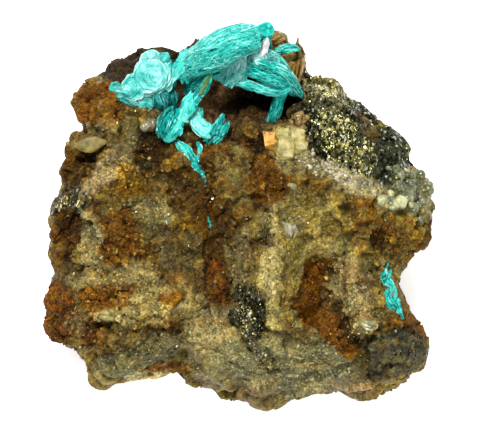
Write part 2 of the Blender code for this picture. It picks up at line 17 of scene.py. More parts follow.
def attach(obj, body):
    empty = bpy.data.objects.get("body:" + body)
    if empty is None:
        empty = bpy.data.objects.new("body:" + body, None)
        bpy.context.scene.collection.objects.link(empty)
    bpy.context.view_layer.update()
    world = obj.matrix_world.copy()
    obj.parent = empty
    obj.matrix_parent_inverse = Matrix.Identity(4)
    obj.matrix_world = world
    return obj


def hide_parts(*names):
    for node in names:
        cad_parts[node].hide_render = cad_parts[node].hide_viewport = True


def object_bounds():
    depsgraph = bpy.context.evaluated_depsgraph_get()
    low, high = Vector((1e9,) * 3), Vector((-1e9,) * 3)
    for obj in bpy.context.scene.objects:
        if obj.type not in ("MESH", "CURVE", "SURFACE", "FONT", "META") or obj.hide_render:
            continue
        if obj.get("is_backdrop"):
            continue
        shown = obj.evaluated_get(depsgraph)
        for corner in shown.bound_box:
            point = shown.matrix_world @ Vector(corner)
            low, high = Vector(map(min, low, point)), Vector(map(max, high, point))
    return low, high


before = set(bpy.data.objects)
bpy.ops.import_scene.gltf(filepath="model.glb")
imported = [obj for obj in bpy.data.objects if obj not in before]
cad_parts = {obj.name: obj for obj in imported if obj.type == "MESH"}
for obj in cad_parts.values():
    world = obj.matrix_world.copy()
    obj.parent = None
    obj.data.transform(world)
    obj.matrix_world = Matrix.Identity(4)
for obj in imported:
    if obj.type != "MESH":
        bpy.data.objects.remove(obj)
CAD_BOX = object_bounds()

MM = 0.001
DATUM = np.array((0.3, -0.25, 0.0))  # the specimen's own middle, in the outline's coordinates
REMESH = 0.42  # grid of the rock's mesh, before its crystal side is subdivided once
FINE_FROM = 0.0075  # the grid is subdivided above this height, in metres
BEND = 1.3  # how far noise bends the edges of zones and hollows
LIFT_LIMIT = 0.75  # the most that roughness raises the rock
SKY = 60.0  # rays that look for the rock start at this height
GRAIN_TRIES = 42000
LOWEST_GRAIN = 6.0
LOWEST_CRYSTAL = 5.0
SPINE_STEP = 0.12  # between the samples along a book
COLUMN = 0.1  # between the points across a book
CROWN = 0.4  # how far the sides of a book fall, as a part of its depth
PLATE_STEP = 0.16  # between the plates of a pile
PLATE_GROWTH = 0.03  # how much wider each next plate of a pile is
ANY_ANGLE = 6.28
QUARTZ_IOR = 1.54
PHOTO_WIDTH = 52.6  # what the frame covers at the height of the rock's outline
PHOTO_MIDDLE = (0.11, -0.11, 0.0)
OUTLINE_HEIGHT = 10.0
CAMERA_HEIGHT = 900.0
SENSOR = 36.0


# Noise

def cell_number(cell, seed):
    """A number from 0 to 1 for each row of whole-number cell coordinates."""
    n = cell[..., 0] * 73856093 ^ cell[..., 1] * 19349663 ^ cell[..., 2] * 83492791 ^ (seed * 40503 + 977)
    n &= 0xFFFFFFFF
    n = ((n ^ (n >> 15)) * 739982445) & 0xFFFFFFFF
    n = ((n ^ (n >> 12)) * 695872825) & 0xFFFFFFFF
    return (n ^ (n >> 15)) / 4294967295.0


def smooth_noise(points, size, seed):
    """Smooth noise from -1 to 1 whose lumps have about this size."""
    q = points / size + 512.0
    cell = np.floor(q).astype(np.int64)
    f = q - cell
    f = f * f * (3.0 - 2.0 * f)
    total = np.zeros(len(points))
    for corner in range(8):
        step = np.array([corner & 1, corner >> 1 & 1, corner >> 2 & 1])
        weight = np.prod(np.where(step, f, 1.0 - f), axis=1)
        total += weight * cell_number(cell + step, seed)
    return 2.0 * total - 1.0


def rough_noise(points, size, seed, octaves=4, fall=0.55):
    total, scale, share = np.zeros(len(points)), 1.0, 0.0
    for i in range(octaves):
        total += scale * smooth_noise(points, size / 2**i, seed + 17 * i)
        share += scale
        scale *= fall
    return total / share


def near_cells(points, size, seed):
    """The 27 cells around each point, and where the point is from the scattered centre of each."""
    q = points / size + 512.0
    cell = np.floor(q).astype(np.int64)
    for i in range(27):
        near = cell + np.array([i % 3 - 1, i // 3 % 3 - 1, i // 9 - 1])
        jitter = np.stack([cell_number(near, seed + k) for k in range(3)], axis=1)
        yield near, q - near - jitter


def break_faces(points, size, tilt, seed):
    """Height of flat tilted breaks, one for each scattered centre, and a number that tells them apart."""
    best = np.full(len(points), 1e9)
    height = np.zeros(len(points))
    label = np.zeros(len(points))
    for near, away in near_cells(points, size, seed):
        distance = np.sum(away * away, axis=1)
        closer = distance < best
        best = np.where(closer, distance, best)
        slope = np.stack([cell_number(near, seed + 5 + k) - 0.5 for k in range(3)], axis=1)
        lift = 2.0 * tilt * np.sum(slope * away, axis=1) + 0.5 * tilt * (cell_number(near, seed + 9) - 0.5)
        height = np.where(closer, lift, height)
        label = np.where(closer, cell_number(near, seed + 11), label)
    return height * size, label


def block_bumps(points, size, seed):
    """Height of small blocks that stick out at random angles, like druse, up to about half their size."""
    draw = np.random.default_rng(seed)
    turns = np.array([np.linalg.qr(draw.normal(size=(3, 3)))[0] for _ in range(32)])
    height = np.zeros(len(points))
    for near, away in near_cells(points, size, seed):
        turn = turns[(cell_number(near, seed + 4) * 31.99).astype(int)]
        reach = np.abs(np.einsum("nij,nj->ni", turn, away)).max(axis=1)
        height = np.maximum(height, (0.35 + 0.4 * cell_number(near, seed + 6)) - reach)
    return height * size


def ease(value):
    value = np.clip(value, 0.0, 1.0)
    return value * value * (3.0 - 2.0 * value)


# Colours, given as sRGB from 0 to 255

def linear(colour):
    c = np.array(colour) / 255.0
    return np.where(c <= 0.04045, c / 12.92, ((c + 0.055) / 1.055) ** 2.4)


def paint(colour):
    return (*linear(colour), 1.0)


OLIVE = (122, 106, 44)
KHAKI = (150, 134, 56)
BROWN = (74, 48, 12)
RUST = (118, 70, 8)
RED_BROWN = (100, 50, 14)
OCHRE = (134, 100, 10)
DARK_RED = (54, 27, 7)
# Near black: dark specks and crags, and painted shade in the vug, in pockets and in crevices
DARK_SPECK_AND_SHADE = (22, 12, 6)
GREY_QUARTZ = (130, 116, 72)
GREEN_GREY = (106, 102, 58)
BLUE_GREY = (114, 116, 92)
PALE_QUARTZ = (172, 156, 98)
CREAM = (226, 214, 158)
PINKISH = (146, 120, 80)
ORANGE_RUST = (132, 82, 6)
RIM_DARK = (42, 31, 22)
DARK_GREY = (46, 48, 38)
# Colour ramps for the plates, from painted shade in the gaps to painted highlight on edges and faces
TURQUOISE_SHADE_TO_HIGHLIGHT = ((1, 66, 70), (3, 128, 124), (14, 188, 174), (70, 222, 206), (176, 246, 236))
PALE_TURQUOISE_SHADE_TO_HIGHLIGHT = ((4, 74, 78), (16, 122, 118), (44, 172, 162), (100, 204, 194), (184, 236, 228))
GLASSY_SHADE_TO_HIGHLIGHT = ((14, 96, 94), (44, 140, 132), (84, 180, 170), (146, 212, 202), (226, 244, 238))
GREEN_SHADE_TO_HIGHLIGHT = ((40, 90, 50), (84, 130, 70), (128, 160, 92))

# Where the rock changes: what is there, colour, middle, (half length, half width), turn in degrees,
# strength, edge noise, then how much of it is metal, quartz and earth
ZONES = [
    ("left knob", RUST, (-15.0, 12.1), (3.6, 3.0), 10, 0.9, 0.5, (0, 0.15, 0.85)),
    ("ochre on the knob", OCHRE, (-14.6, 11.4), (1.4, 1.3), 0, 0.5, 0.7, (0, 0.2, 0.8)),
    ("grey on the knob", GREY_QUARTZ, (-14.9, 15.0), (1.3, 1.0), 30, 0.8, 0.5, (0, 0.9, 0)),
    ("rim behind the crystals", RIM_DARK, (-8.8, 17.6), (6.6, 2.2), 8, 1.0, 0.3, (0, 0.3, 0.1)),
    ("rim at the left", RIM_DARK, (-12.8, 16.4), (2.9, 2.0), 24, 1.0, 0.25, (0, 0.3, 0.1)),
    ("under the knob", GREY_QUARTZ, (-15.0, 9.5), (1.8, 0.8), -10, 0.7, 0.6, (0, 0.9, 0.1)),
    ("under the blade", DARK_RED, (-17.4, 5.3), (2.0, 1.9), 0, 0.85, 0.6, (0, 0.1, 0.8)),
    ("lilac streak", (158, 136, 100), (-14.4, 4.6), (4.4, 1.2), 46, 0.9, 0.6, (0, 0.9, 0.1)),
    ("lilac field", GREY_QUARTZ, (-12.2, 7.2), (2.2, 1.7), 30, 0.6, 0.7, (0, 0.9, 0.1)),
    ("left metal", DARK_GREY, (-18.5, 1.0), (2.2, 2.0), 0, 0.85, 0.7, (0.6, 0.3, 0)),
    ("left pocket", DARK_RED, (-18.6, -1.8), (1.5, 2.6), 0, 0.85, 0.5, (0, 0, 0.9)),
    ("left grey", GREY_QUARTZ, (-16.0, -3.4), (1.5, 4.2), 5, 0.8, 0.6, (0, 1, 0)),
    ("left brown", BROWN, (-19.6, -4.6), (1.2, 2.4), 0, 0.6, 0.6, (0, 0.3, 0.6)),
    ("ochre patch", (146, 110, 8), (-11.8, 3.6), (1.6, 2.2), 10, 1.0, 0.5, (0, 0.2, 0.7)),
    # Painted shade in the dark pocket, which RELIEF also sinks
    ("dark pocket", DARK_SPECK_AND_SHADE, (-9.7, 6.9), (1.7, 2.5), 0, 1.0, 0.5, (0, 0.1, 0.7)),
    ("brown beside it", BROWN, (-6.8, 5.2), (2.2, 3.4), 0, 0.75, 0.6, (0, 0.2, 0.7)),
    ("pale face", GREEN_GREY, (-9.4, 0.2), (3.4, 1.7), -10, 0.85, 0.5, (0, 0.9, 0)),
    ("rust field", RUST, (-13.0, -2.0), (2.4, 3.2), -8, 0.9, 0.6, (0, 0.1, 0.9)),
    ("rust chips", RUST, (-9.6, -4.2), (2.8, 1.4), -20, 0.6, 1.0, (0, 0.1, 0.8)),
    ("dark field", DARK_RED, (-4.9, 2.4), (2.6, 3.8), 0, 0.6, 0.7, (0, 0.2, 0.7)),
    ("dark red field", DARK_RED, (-2.4, -0.6), (2.8, 2.6), 0, 0.95, 0.7, (0, 0.1, 0.8)),
    ("ochre by the groove", OCHRE, (-5.4, -1.4), (1.9, 1.4), 0, 0.7, 0.6, (0, 0.2, 0.7)),
    ("pale middle base", (184, 164, 96), (-9.4, -8.4), (5.8, 3.6), 4, 0.8, 0.5, (0, 0.9, 0.1)),
    ("brown field", (78, 64, 28), (-6.0, -5.4), (2.9, 3.7), 10, 0.95, 0.7, (0, 0.4, 0.5)),
    ("red groove", DARK_RED, (-2.2, -6.8), (1.4, 4.0), 4, 0.95, 0.35, (0, 0.1, 0.8)),
    ("red in the groove", RED_BROWN, (-2.3, -7.4), (0.8, 2.6), 4, 0.8, 0.5, (0, 0.1, 0.9)),
    ("pale beside the groove", GREY_QUARTZ, (0.2, -6.4), (1.2, 5.2), 0, 0.6, 0.7, (0, 0.9, 0)),
    ("pale ledge", PALE_QUARTZ, (-16.2, -7.2), (3.0, 1.0), -8, 0.6, 0.8, (0, 1, 0)),
    ("rust ledge", ORANGE_RUST, (-15.3, -9.1), (2.4, 1.5), 5, 0.95, 0.5, (0, 0.1, 0.9)),
    ("rust chip one", ORANGE_RUST, (-12.1, -8.9), (0.9, 1.4), 0, 0.85, 0.4, (0, 0.1, 0.8)),
    ("rust chip two", ORANGE_RUST, (-7.3, -9.2), (1.2, 0.8), 0, 0.9, 0.35, (0, 0.1, 0.8)),
    ("rust foot", RED_BROWN, (-15.9, -12.6), (1.6, 1.8), 20, 0.8, 0.6, (0, 0.1, 0.8)),
    ("brown corner", RED_BROWN, (-19.9, -10.8), (2.0, 3.9), 0, 0.9, 0.3, (0, 0.1, 0.8)),
    ("pink corner", PINKISH, (-17.9, -11.6), (1.3, 1.5), 30, 0.65, 0.5, (0, 0.6, 0.2)),
    ("pebble", PALE_QUARTZ, (-14.3, -10.9), (1.4, 0.9), -8, 0.85, 0.2, (0, 1, 0)),
    ("brown above the foot", BROWN, (-14.0, -15.0), (2.4, 2.2), 0, 0.6, 0.7, (0, 0.3, 0.5)),
    ("lower left quartz", GREEN_GREY, (-10.6, -15.5), (5.6, 1.8), 24, 0.85, 0.5, (0.03, 0.9, 0)),
    ("rust streak", RUST, (-8.0, -17.0), (3.0, 1.0), 8, 0.8, 0.5, (0, 0.1, 0.8)),
    ("pale foot", CREAM, (-10.4, -17.9), (2.0, 0.7), 6, 0.7, 0.4, (0, 1, 0)),
    ("lilac quartz", GREY_QUARTZ, (-2.4, -14.6), (2.9, 5.0), 0, 0.9, 0.5, (0, 1, 0)),
    ("lilac glints", PALE_QUARTZ, (-4.0, -12.2), (2.4, 2.0), 0, 0.5, 0.8, (0, 1, 0)),
    ("khaki bands", (130, 114, 48), (4.9, -6.4), (3.0, 9.0), 2, 0.95, 0.25, (0, 0.95, 0)),
    ("pale band", (180, 166, 108), (3.4, -5.0), (0.8, 7.4), 2, 0.8, 0.4, (0, 1, 0)),
    ("ochre line", (128, 104, 20), (5.5, -6.4), (0.8, 7.4), 2, 0.7, 0.5, (0, 0.7, 0.2)),
    ("lower quartz", (122, 120, 82), (5.0, -16.6), (8.4, 3.6), -4, 1.0, 0.3, (0, 1, 0)),
    ("lower pale streak", PALE_QUARTZ, (2.4, -13.8), (5.0, 0.9), -14, 0.5, 0.6, (0, 1, 0)),
    ("lower pink", PINKISH, (1.6, -20.2), (2.6, 1.2), 0, 0.7, 0.5, (0, 0.7, 0.2)),
    ("dark spot one", DARK_SPECK_AND_SHADE, (2.1, 1.4), (0.9, 1.5), 0, 0.85, 0.5, (0.1, 0.2, 0.4)),
    ("dark spot two", DARK_SPECK_AND_SHADE, (2.6, -2.5), (1.0, 1.0), 0, 0.8, 0.6, (0.4, 0.2, 0.2)),
    ("dark spot three", DARK_SPECK_AND_SHADE, (11.9, -4.3), (1.7, 1.4), 0, 0.65, 0.7, (0, 0.4, 0.2)),
    ("seam metal", (60, 60, 46), (1.3, -11.0), (2.0, 3.6), 14, 0.95, 1.2, (0.75, 0.25, 0)),
    ("foot metal", (70, 68, 46), (2.6, -15.4), (2.7, 1.1), -50, 0.85, 0.9, (0.5, 0.4, 0)),
    # Dark red-brown under the vug, with painted shade there
    ("dark below the vug", DARK_RED, (1.2, 9.0), (2.2, 2.0), 0, 0.85, 0.6, (0, 0.2, 0.8)),
    ("dark beside the curl", DARK_RED, (-5.6, 8.6), (2.6, 1.4), 0, 0.7, 0.7, (0, 0.3, 0.6)),
    ("vug lump", (58, 42, 20), (1.2, 10.6), (3.2, 2.2), 0, 0.95, 0.4, (0, 0.3, 0.6)),
    ("rust below the vug", RUST, (3.5, 3.9), (2.6, 2.7), 10, 0.85, 0.6, (0, 0.1, 0.8)),
    ("brown right of it", OCHRE, (8.8, 2.4), (3.2, 1.5), -20, 0.6, 0.7, (0, 0.3, 0.6)),
    ("pale right middle", KHAKI, (9.6, -1.8), (5.0, 4.6), 0, 0.6, 0.6, (0, 0.7, 0.1)),
    ("green right middle", GREEN_GREY, (11.0, -5.4), (3.4, 2.6), 0, 0.5, 0.8, (0, 0.7, 0.1)),
    ("recess", ORANGE_RUST, (8.4, -8.6), (2.0, 4.2), 2, 1.0, 0.3, (0, 0.0, 1.0)),
    ("recess top", ORANGE_RUST, (9.4, -5.2), (1.5, 1.0), 0, 0.9, 0.4, (0, 0.0, 1.0)),
    ("craggy side", PINKISH, (12.0, -9.0), (2.6, 4.8), 20, 0.85, 0.7, (0, 0.9, 0.1)),
    ("craggy brown", BROWN, (10.8, -11.0), (1.4, 4.6), 26, 0.7, 1.0, (0, 0.2, 0.7)),
    ("recess foot", ORANGE_RUST, (10.6, -13.2), (3.6, 1.4), -40, 0.95, 0.4, (0, 0.1, 0.9)),
    # Painted shade in the two crevices, which RELIEF also sinks
    ("recess crevice", DARK_SPECK_AND_SHADE, (12.2, -12.9), (3.2, 0.6), -50, 0.95, 0.5, (0, 0.1, 0.4)),
    ("upper crevice", DARK_SPECK_AND_SHADE, (10.4, -6.8), (2.6, 0.6), -60, 0.9, 0.6, (0, 0.1, 0.4)),
    ("recess crystals", PALE_QUARTZ, (10.9, -8.0), (1.2, 1.5), 0, 0.7, 0.8, (0, 1, 0)),
    ("cream chip", CREAM, (13.7, -12.2), (1.4, 0.9), -20, 0.85, 0.4, (0, 1, 0)),
    ("cream chip two", PALE_QUARTZ, (12.9, -9.0), (0.9, 1.4), 10, 0.6, 0.6, (0, 1, 0)),
    ("right rust", RUST, (18.4, -12.4), (2.6, 1.8), -20, 0.8, 0.6, (0, 0.2, 0.8)),
    ("dark lower lump", (40, 44, 38), (17.5, -15.0), (3.7, 2.4), 0, 1.0, 0.35, (0.1, 0.3, 0)),
    ("dark lump below", (40, 44, 38), (15.8, -17.2), (2.4, 1.3), 30, 0.9, 0.4, (0.1, 0.3, 0)),
    ("lower right quartz", PINKISH, (12.6, -18.9), (2.4, 1.8), 0, 0.7, 0.6, (0, 1, 0)),
    ("right brown", OCHRE, (16.4, -2.2), (4.4, 3.6), 0, 0.7, 0.7, (0, 0.3, 0.6)),
    ("right dark brown", BROWN, (14.6, -0.4), (2.6, 1.8), -40, 0.75, 0.6, (0, 0.2, 0.7)),
    ("right rust spot", BROWN, (12.6, 1.0), (1.8, 1.6), 0, 0.6, 0.8, (0, 0.2, 0.7)),
    # Painted shade in a crevice, which RELIEF also sinks
    ("right dark crevice", DARK_SPECK_AND_SHADE, (15.6, -3.2), (0.7, 1.7), 20, 0.85, 0.5, (0, 0.1, 0.4)),
    ("right bay", OLIVE, (16.4, -7.6), (2.0, 4.0), 0, 0.6, 0.7, (0, 0.5, 0.3)),
    ("bubbly quartz", GREEN_GREY, (18.8, 2.6), (3.4, 3.2), 0, 0.95, 0.4, (0, 1, 0)),
    ("pale beside the bubbles", CREAM, (16.2, 1.4), (1.2, 1.0), 0, 0.5, 0.5, (0, 1, 0)),
    ("sulphide", (48, 48, 38), (10.9, 9.8), (5.4, 4.2), -42, 1.0, 0.35, (1, 0, 0)),
    ("sulphide right", (66, 70, 52), (15.6, 6.8), (4.2, 4.0), -30, 1.0, 0.35, (0.85, 0, 0)),
    ("sulphide top", (126, 122, 88), (9.6, 13.6), (3.2, 2.2), -20, 0.9, 0.5, (0.85, 0.1, 0)),
    ("brown in the sulphide", (88, 70, 26), (14.2, 9.4), (0.6, 2.0), 25, 0.6, 0.5, (0, 0.3, 0.5)),
    ("white under the sulphide", (176, 164, 122), (10.9, 4.5), (5.6, 1.1), -25, 0.9, 0.6, (0, 1, 0)),
    ("pale beside the vug", (196, 180, 116), (5.8, 7.2), (1.9, 2.6), 15, 0.95, 0.25, (0, 1, 0)),
]
# Patches: middle, (half length, half width), turn in degrees
RIM = [((-8.8, 17.6), (6.8, 2.3), 8), ((-12.8, 16.4), (3.0, 2.0), 24)]
VUG = [((-1.4, 13.1), (7.8, 4.6), 4), ((-9.4, 13.4), (2.8, 2.0), 10), ((4.0, 12.3), (3.8, 3.3), 10)]
VUG_LUMP = ((0.9, 10.9), (1.7, 1.4), 20)
KHAKI_BANDS = ((4.6, -6.4), (3.0, 9.0), 2)
GOLDEN_FACES = [
    ((11.7, 7.8), (4.9, 2.4), -50),
    ((9.6, 14.2), (1.8, 1.2), -40),
    ((18.0, 4.4), (1.4, 0.9), -20),
    ((0.8, -11.8), (1.4, 2.4), 10),
    ((3.0, -16.2), (1.3, 0.9), -40),
    ((-18.5, 1.0), (1.4, 1.2), 0),
]

# Hollows and swellings: middle, (half length, half width), turn in degrees, height, edge noise
RELIEF = [
    ((-2.2, -6.8), (1.5, 4.2), 4, -0.75, 0.3),
    ((-18.6, -1.8), (1.3, 2.6), 0, -0.8, 0.4),
    ((-17.2, 6.4), (2.0, 1.1), 10, -0.8, 0.4),
    ((-9.7, 6.9), (1.4, 2.2), 0, -0.7, 0.4),
    ((-13.0, -2.0), (2.2, 3.0), -8, -0.45, 0.5),
    ((-4.9, 2.4), (2.4, 3.6), 0, -0.4, 0.6),
    ((-2.2, -0.6), (2.2, 2.2), 0, -0.45, 0.6),
    ((2.1, 1.4), (1.0, 1.5), 0, -0.5, 0.5),
    ((3.5, 3.9), (2.4, 2.4), 10, -0.35, 0.6),
    ((8.5, -8.6), (1.8, 4.0), 2, -0.85, 0.35),
    ((10.4, -12.8), (3.0, 1.1), -40, -0.6, 0.4),
    ((12.2, -12.9), (3.3, 0.8), -50, -1.1, 0.4),
    ((10.4, -6.8), (2.7, 0.8), -60, -0.9, 0.5),
    ((15.6, -3.2), (0.9, 1.9), 20, -1.0, 0.4),
    ((-13.6, -12.3), (2.6, 0.8), -10, -0.7, 0.4),
    ((1.3, -11.6), (1.5, 2.6), 10, -0.4, 0.6),
    ((5.2, -13.4), (5.4, 0.5), -16, -0.5, 0.4),
    ((-8.4, -13.4), (5.0, 0.6), 24, -0.45, 0.5),
    ((17.6, -12.9), (3.0, 0.5), -14, -0.7, 0.3),
    ((12.6, -16.6), (2.4, 0.6), 30, -0.6, 0.4),
    ((-12.6, 4.9), (4.2, 1.0), 46, 0.4, 0.4),
    ((-9.4, 0.2), (3.0, 1.4), -10, 0.35, 0.3),
    ((-16.0, -3.4), (1.2, 3.8), 5, 0.35, 0.4),
    ((4.0, -6.6), (1.2, 8.0), 2, 0.4, 0.3),
    ((13.2, -10.6), (1.6, 2.8), 0, 0.55, 0.4),
    ((17.5, -15.2), (3.3, 2.3), 0, 0.5, 0.3),
    ((-2.4, -13.6), (2.6, 3.6), 0, 0.4, 0.5),
    ((-19.9, -10.8), (1.7, 3.4), 0, 0.4, 0.3),
    ((-14.3, -10.9), (1.3, 0.8), -8, 0.4, 0.1),
    ((1.1, 10.6), (1.8, 1.6), 20, 0.6, 0.4),
]
# Where the photograph's outline stands further out than the smoothed grid: (x, y), reach, millimetres
OUTLINE_SWELL = [
    ((-20.6, -3.8), 3.4, 2.0),
    ((-15.6, -18.9), 2.4, 1.1),
    ((-16.8, -16.2), 1.8, 0.9),
    ((20.6, -16.2), 2.4, 0.5),
    ((-19.4, -14.2), 1.8, 0.3),
    ((15.4, -19.0), 4.5, 0.75),
    ((-1.0, -20.4), 2.4, 0.95),
    ((-17.8, 14.0), 2.0, 0.5),
    ((15.4, 8.4), 3.0, 0.3),
    ((20.6, -13.6), 2.6, 0.35),
    ((-11.0, -17.8), 5.0, 0.25),
    ((-19.0, 11.4), 2.0, 0.3),
    ((10.4, 14.8), 1.6, 0.25),
    ((-13.8, -16.2), 3.0, 0.3),
    ((-21.0, -12.6), 1.8, 0.35),
    ((-18.2, 8.8), 1.6, 0.5),
    ((21.4, -0.6), 2.6, -0.3),
]


def in_patch(x, y, centre, half, turn):
    """1 in the middle of an ellipse, 0 at its edge and below 0 outside."""
    angle = math.radians(turn)
    dx, dy = x - centre[0], y - centre[1]
    along = (dx * math.cos(angle) + dy * math.sin(angle)) / half[0]
    beside = (-dx * math.sin(angle) + dy * math.cos(angle)) / half[1]
    return 1.0 - np.hypot(along, beside)


# Mottling: colour, size in millimetres, strength in the quartz and in the earth
MOTTLING = [
    (OCHRE, 1.3, 0.55, 0.3),
    (RUST, 1.1, 0.5, 0.2),
    (BLUE_GREY, 1.4, 0.6, 0.1),
    (KHAKI, 1.6, 0.5, 0.1),
    (BROWN, 1.2, 0.6, 0.45),
    (PALE_QUARTZ, 0.9, 0.4, 0.0),
    (DARK_RED, 1.0, 0.25, 0.6),
    (RED_BROWN, 0.8, 0.2, 0.4),
    (RUST, 0.6, 0.5, 0.4),
    (BLUE_GREY, 0.7, 0.55, 0.1),
    (DARK_SPECK_AND_SHADE, 0.6, 0.3, 0.45),
    (OCHRE, 0.65, 0.3, 0.4),
]


def bent_places(points):
    """x and y bent by noise, so that zones and hollows get natural edges and wander down the flanks."""
    bend = BEND + 4.0 * ease((9.0 - points[:, 2]) / 7.0)
    return [points[:, k] + bend * rough_noise(points, 2.4, 401 + k, octaves=4, fall=0.6)
            + (bend - BEND) * rough_noise(points, 7.0, 411 + k) for k in range(2)]


def streaks(points, angle, seed):
    """Noise drawn out along a direction across the rock."""
    turn = math.radians(angle)
    along = points[:, 0] * math.cos(turn) + points[:, 1] * math.sin(turn)
    beside = points[:, 1] * math.cos(turn) - points[:, 0] * math.sin(turn)
    drawn_out = np.stack([along / 4.5, beside, 0.5 * points[:, 2]], axis=1)
    return rough_noise(drawn_out, 1.1, seed, octaves=4, fall=0.65)


def calm_share(points):
    """1 in the smooth clear quartz at the foot and in the khaki bands, 0 elsewhere."""
    x, y = points[:, 0], points[:, 1]
    bands = 0.7 * ease(0.3 + 1.5 * in_patch(x, y, *KHAKI_BANDS))
    return np.maximum(bands, ease((-12.5 - y) / 2.0) * ease((15.0 - x) / 2.0))


def vug_depth(points, fine):
    """How far in the vug each point is, from 0 to 1."""
    x, y, z = points.T
    depth = np.zeros(len(points))
    for centre, half, turn in VUG:
        inside = in_patch(x, y, centre, half, turn)
        depth = np.maximum(depth, ease(1.6 * inside + 0.3 + 0.25 * fine) * ease((16.2 - z) / 3.5))
    lump = ease(0.4 + 1.8 * in_patch(x, y, *VUG_LUMP) + 0.3 * fine)
    return depth * (1.0 - 0.6 * lump)


def rock_looks(points):
    """Colour, shares of metal, quartz and earth, and how far in the vug, at points of the rock."""
    x, y, z = points.T
    broad = rough_noise(points, 3.2, 31)
    fine = rough_noise(points, 1.1, 47)
    tiny = rough_noise(points, 0.5, 59, octaves=2)
    count = len(points)
    colour = np.repeat(linear(OLIVE)[None], count, axis=0)
    kind = np.repeat(np.array([[0.0, 0.5, 0.35]]), count, axis=0)

    def mix(new_colour, share, new_kind=None):
        colour[:] += (linear(new_colour) - colour) * share[:, None]
        if new_kind is not None:
            kind[:] += (np.array(new_kind) - kind) * share[:, None]

    mix(BROWN, ease(0.35 + 2.0 * rough_noise(points, 4.0, 5)), (0, 0.3, 0.6))
    mix(KHAKI, 0.8 * ease(-0.3 + 2.6 * rough_noise(points, 2.4, 71)), (0, 0.8, 0.1))
    bent_x, bent_y = bent_places(points)
    for _, zone_colour, centre, half, turn, strength, edge, zone_kind in ZONES:
        inside = in_patch(bent_x, bent_y, centre, half, turn)
        share = strength * ease(0.45 + 3.4 * inside + edge * (0.9 * broad + 0.9 * fine + 0.5 * tiny))
        mix(zone_colour, share * (inside > -0.8), zone_kind)

    stone = 1.0 - kind[:, 0]
    clear = kind[:, 1] * stone
    upright = ease((x - 0.5) / 3.0) * ease((y + 13.0) / 3.0)
    low = ease((-10.5 - y) / 3.0)
    streak = upright * streaks(points, 86, 501) + low * streaks(points, -9, 503)
    streak += ease(1.0 - upright - low) * streaks(points, 30, 505)
    mix(PALE_QUARTZ, 0.55 * clear * ease(2.6 * streak - 0.15))
    mix(GREEN_GREY, 0.5 * clear * ease(-2.6 * streak - 0.1))
    mix(OCHRE, 0.35 * clear * ease(3.0 * rough_noise(points, 1.8, 507) - 0.4))
    for k, (patch_colour, size, on_quartz, on_earth) in enumerate(MOTTLING):
        found = ease(4.0 * rough_noise(points, size, 601 + 29 * k, octaves=4, fall=0.6) - 0.6)
        found *= 0.8 - 0.5 * calm_share(points)
        mix(patch_colour, found * (on_quartz * clear + on_earth * kind[:, 2] * stone))
    warp = np.stack([rough_noise(points, 0.7, 91 + k, octaves=2) for k in range(3)], axis=1)
    for size, seed in ((1.7, 211), (0.8, 223)):
        _, label = break_faces(points + 0.35 * warp, size, 0.0, seed)
        earthy = stone * kind[:, 2]
        glassy = stone * kind[:, 1]
        mix(RUST, (label < 0.08) * 0.45 * earthy, (0, 0, 0.9))
        mix(DARK_RED, ((label > 0.1) & (label < 0.2)) * 0.45 * earthy, (0, 0.1, 0.8))
        mix(OCHRE, ((label > 0.2) & (label < 0.27)) * 0.3 * stone)
        mix(GREEN_GREY, ((label > 0.5) & (label < 0.62)) * 0.5 * glassy, (0, 1, 0))
        mix(PALE_QUARTZ, ((label > 0.94) & (label < 0.98)) * 0.35 * glassy, (0, 1, 0))
    colour *= (1.0 + (0.34 - 0.12 * clear) * fine + (0.34 - 0.2 * clear) * tiny)[:, None]

    for centre, half, turn in RIM:
        inside = in_patch(bent_x, bent_y, centre, half, turn)
        mix(RIM_DARK, 0.75 * ease(0.5 + 3.0 * inside + 0.3 * fine), (0, 0.25, 0.2))

    depth = vug_depth(points, fine)
    # Painted shade in the vug: its walls go dark brown and its floor near black, darkest deepest, with the
    # floor painted lighter to the left
    left_side = ease((1.0 - x) / 3.0)
    inner = linear(DARK_SPECK_AND_SHADE) + (linear((150, 118, 92)) - linear(DARK_SPECK_AND_SHADE)) * left_side[:, None]
    shaded_vug_wall = linear((62, 38, 22)) * (1.0 + 0.6 * fine[:, None])
    deep_vug_shade = ease((13.2 - z) / 3.0)[:, None]
    colour += (shaded_vug_wall + (inner * (1.0 + 0.7 * fine[:, None]) - shaded_vug_wall) * deep_vug_shade - colour) * depth[:, None]
    kind += (np.array((0.0, 0.35, 0.5)) - kind) * depth[:, None]
    colour *= np.stack([np.ones(count), 0.98 - 0.07 * kind[:, 2], 0.84 - 0.36 * kind[:, 2]], axis=1)
    return np.clip(colour, 0.001, 1.0), np.clip(kind, 0.0, 1.0), depth


# Materials

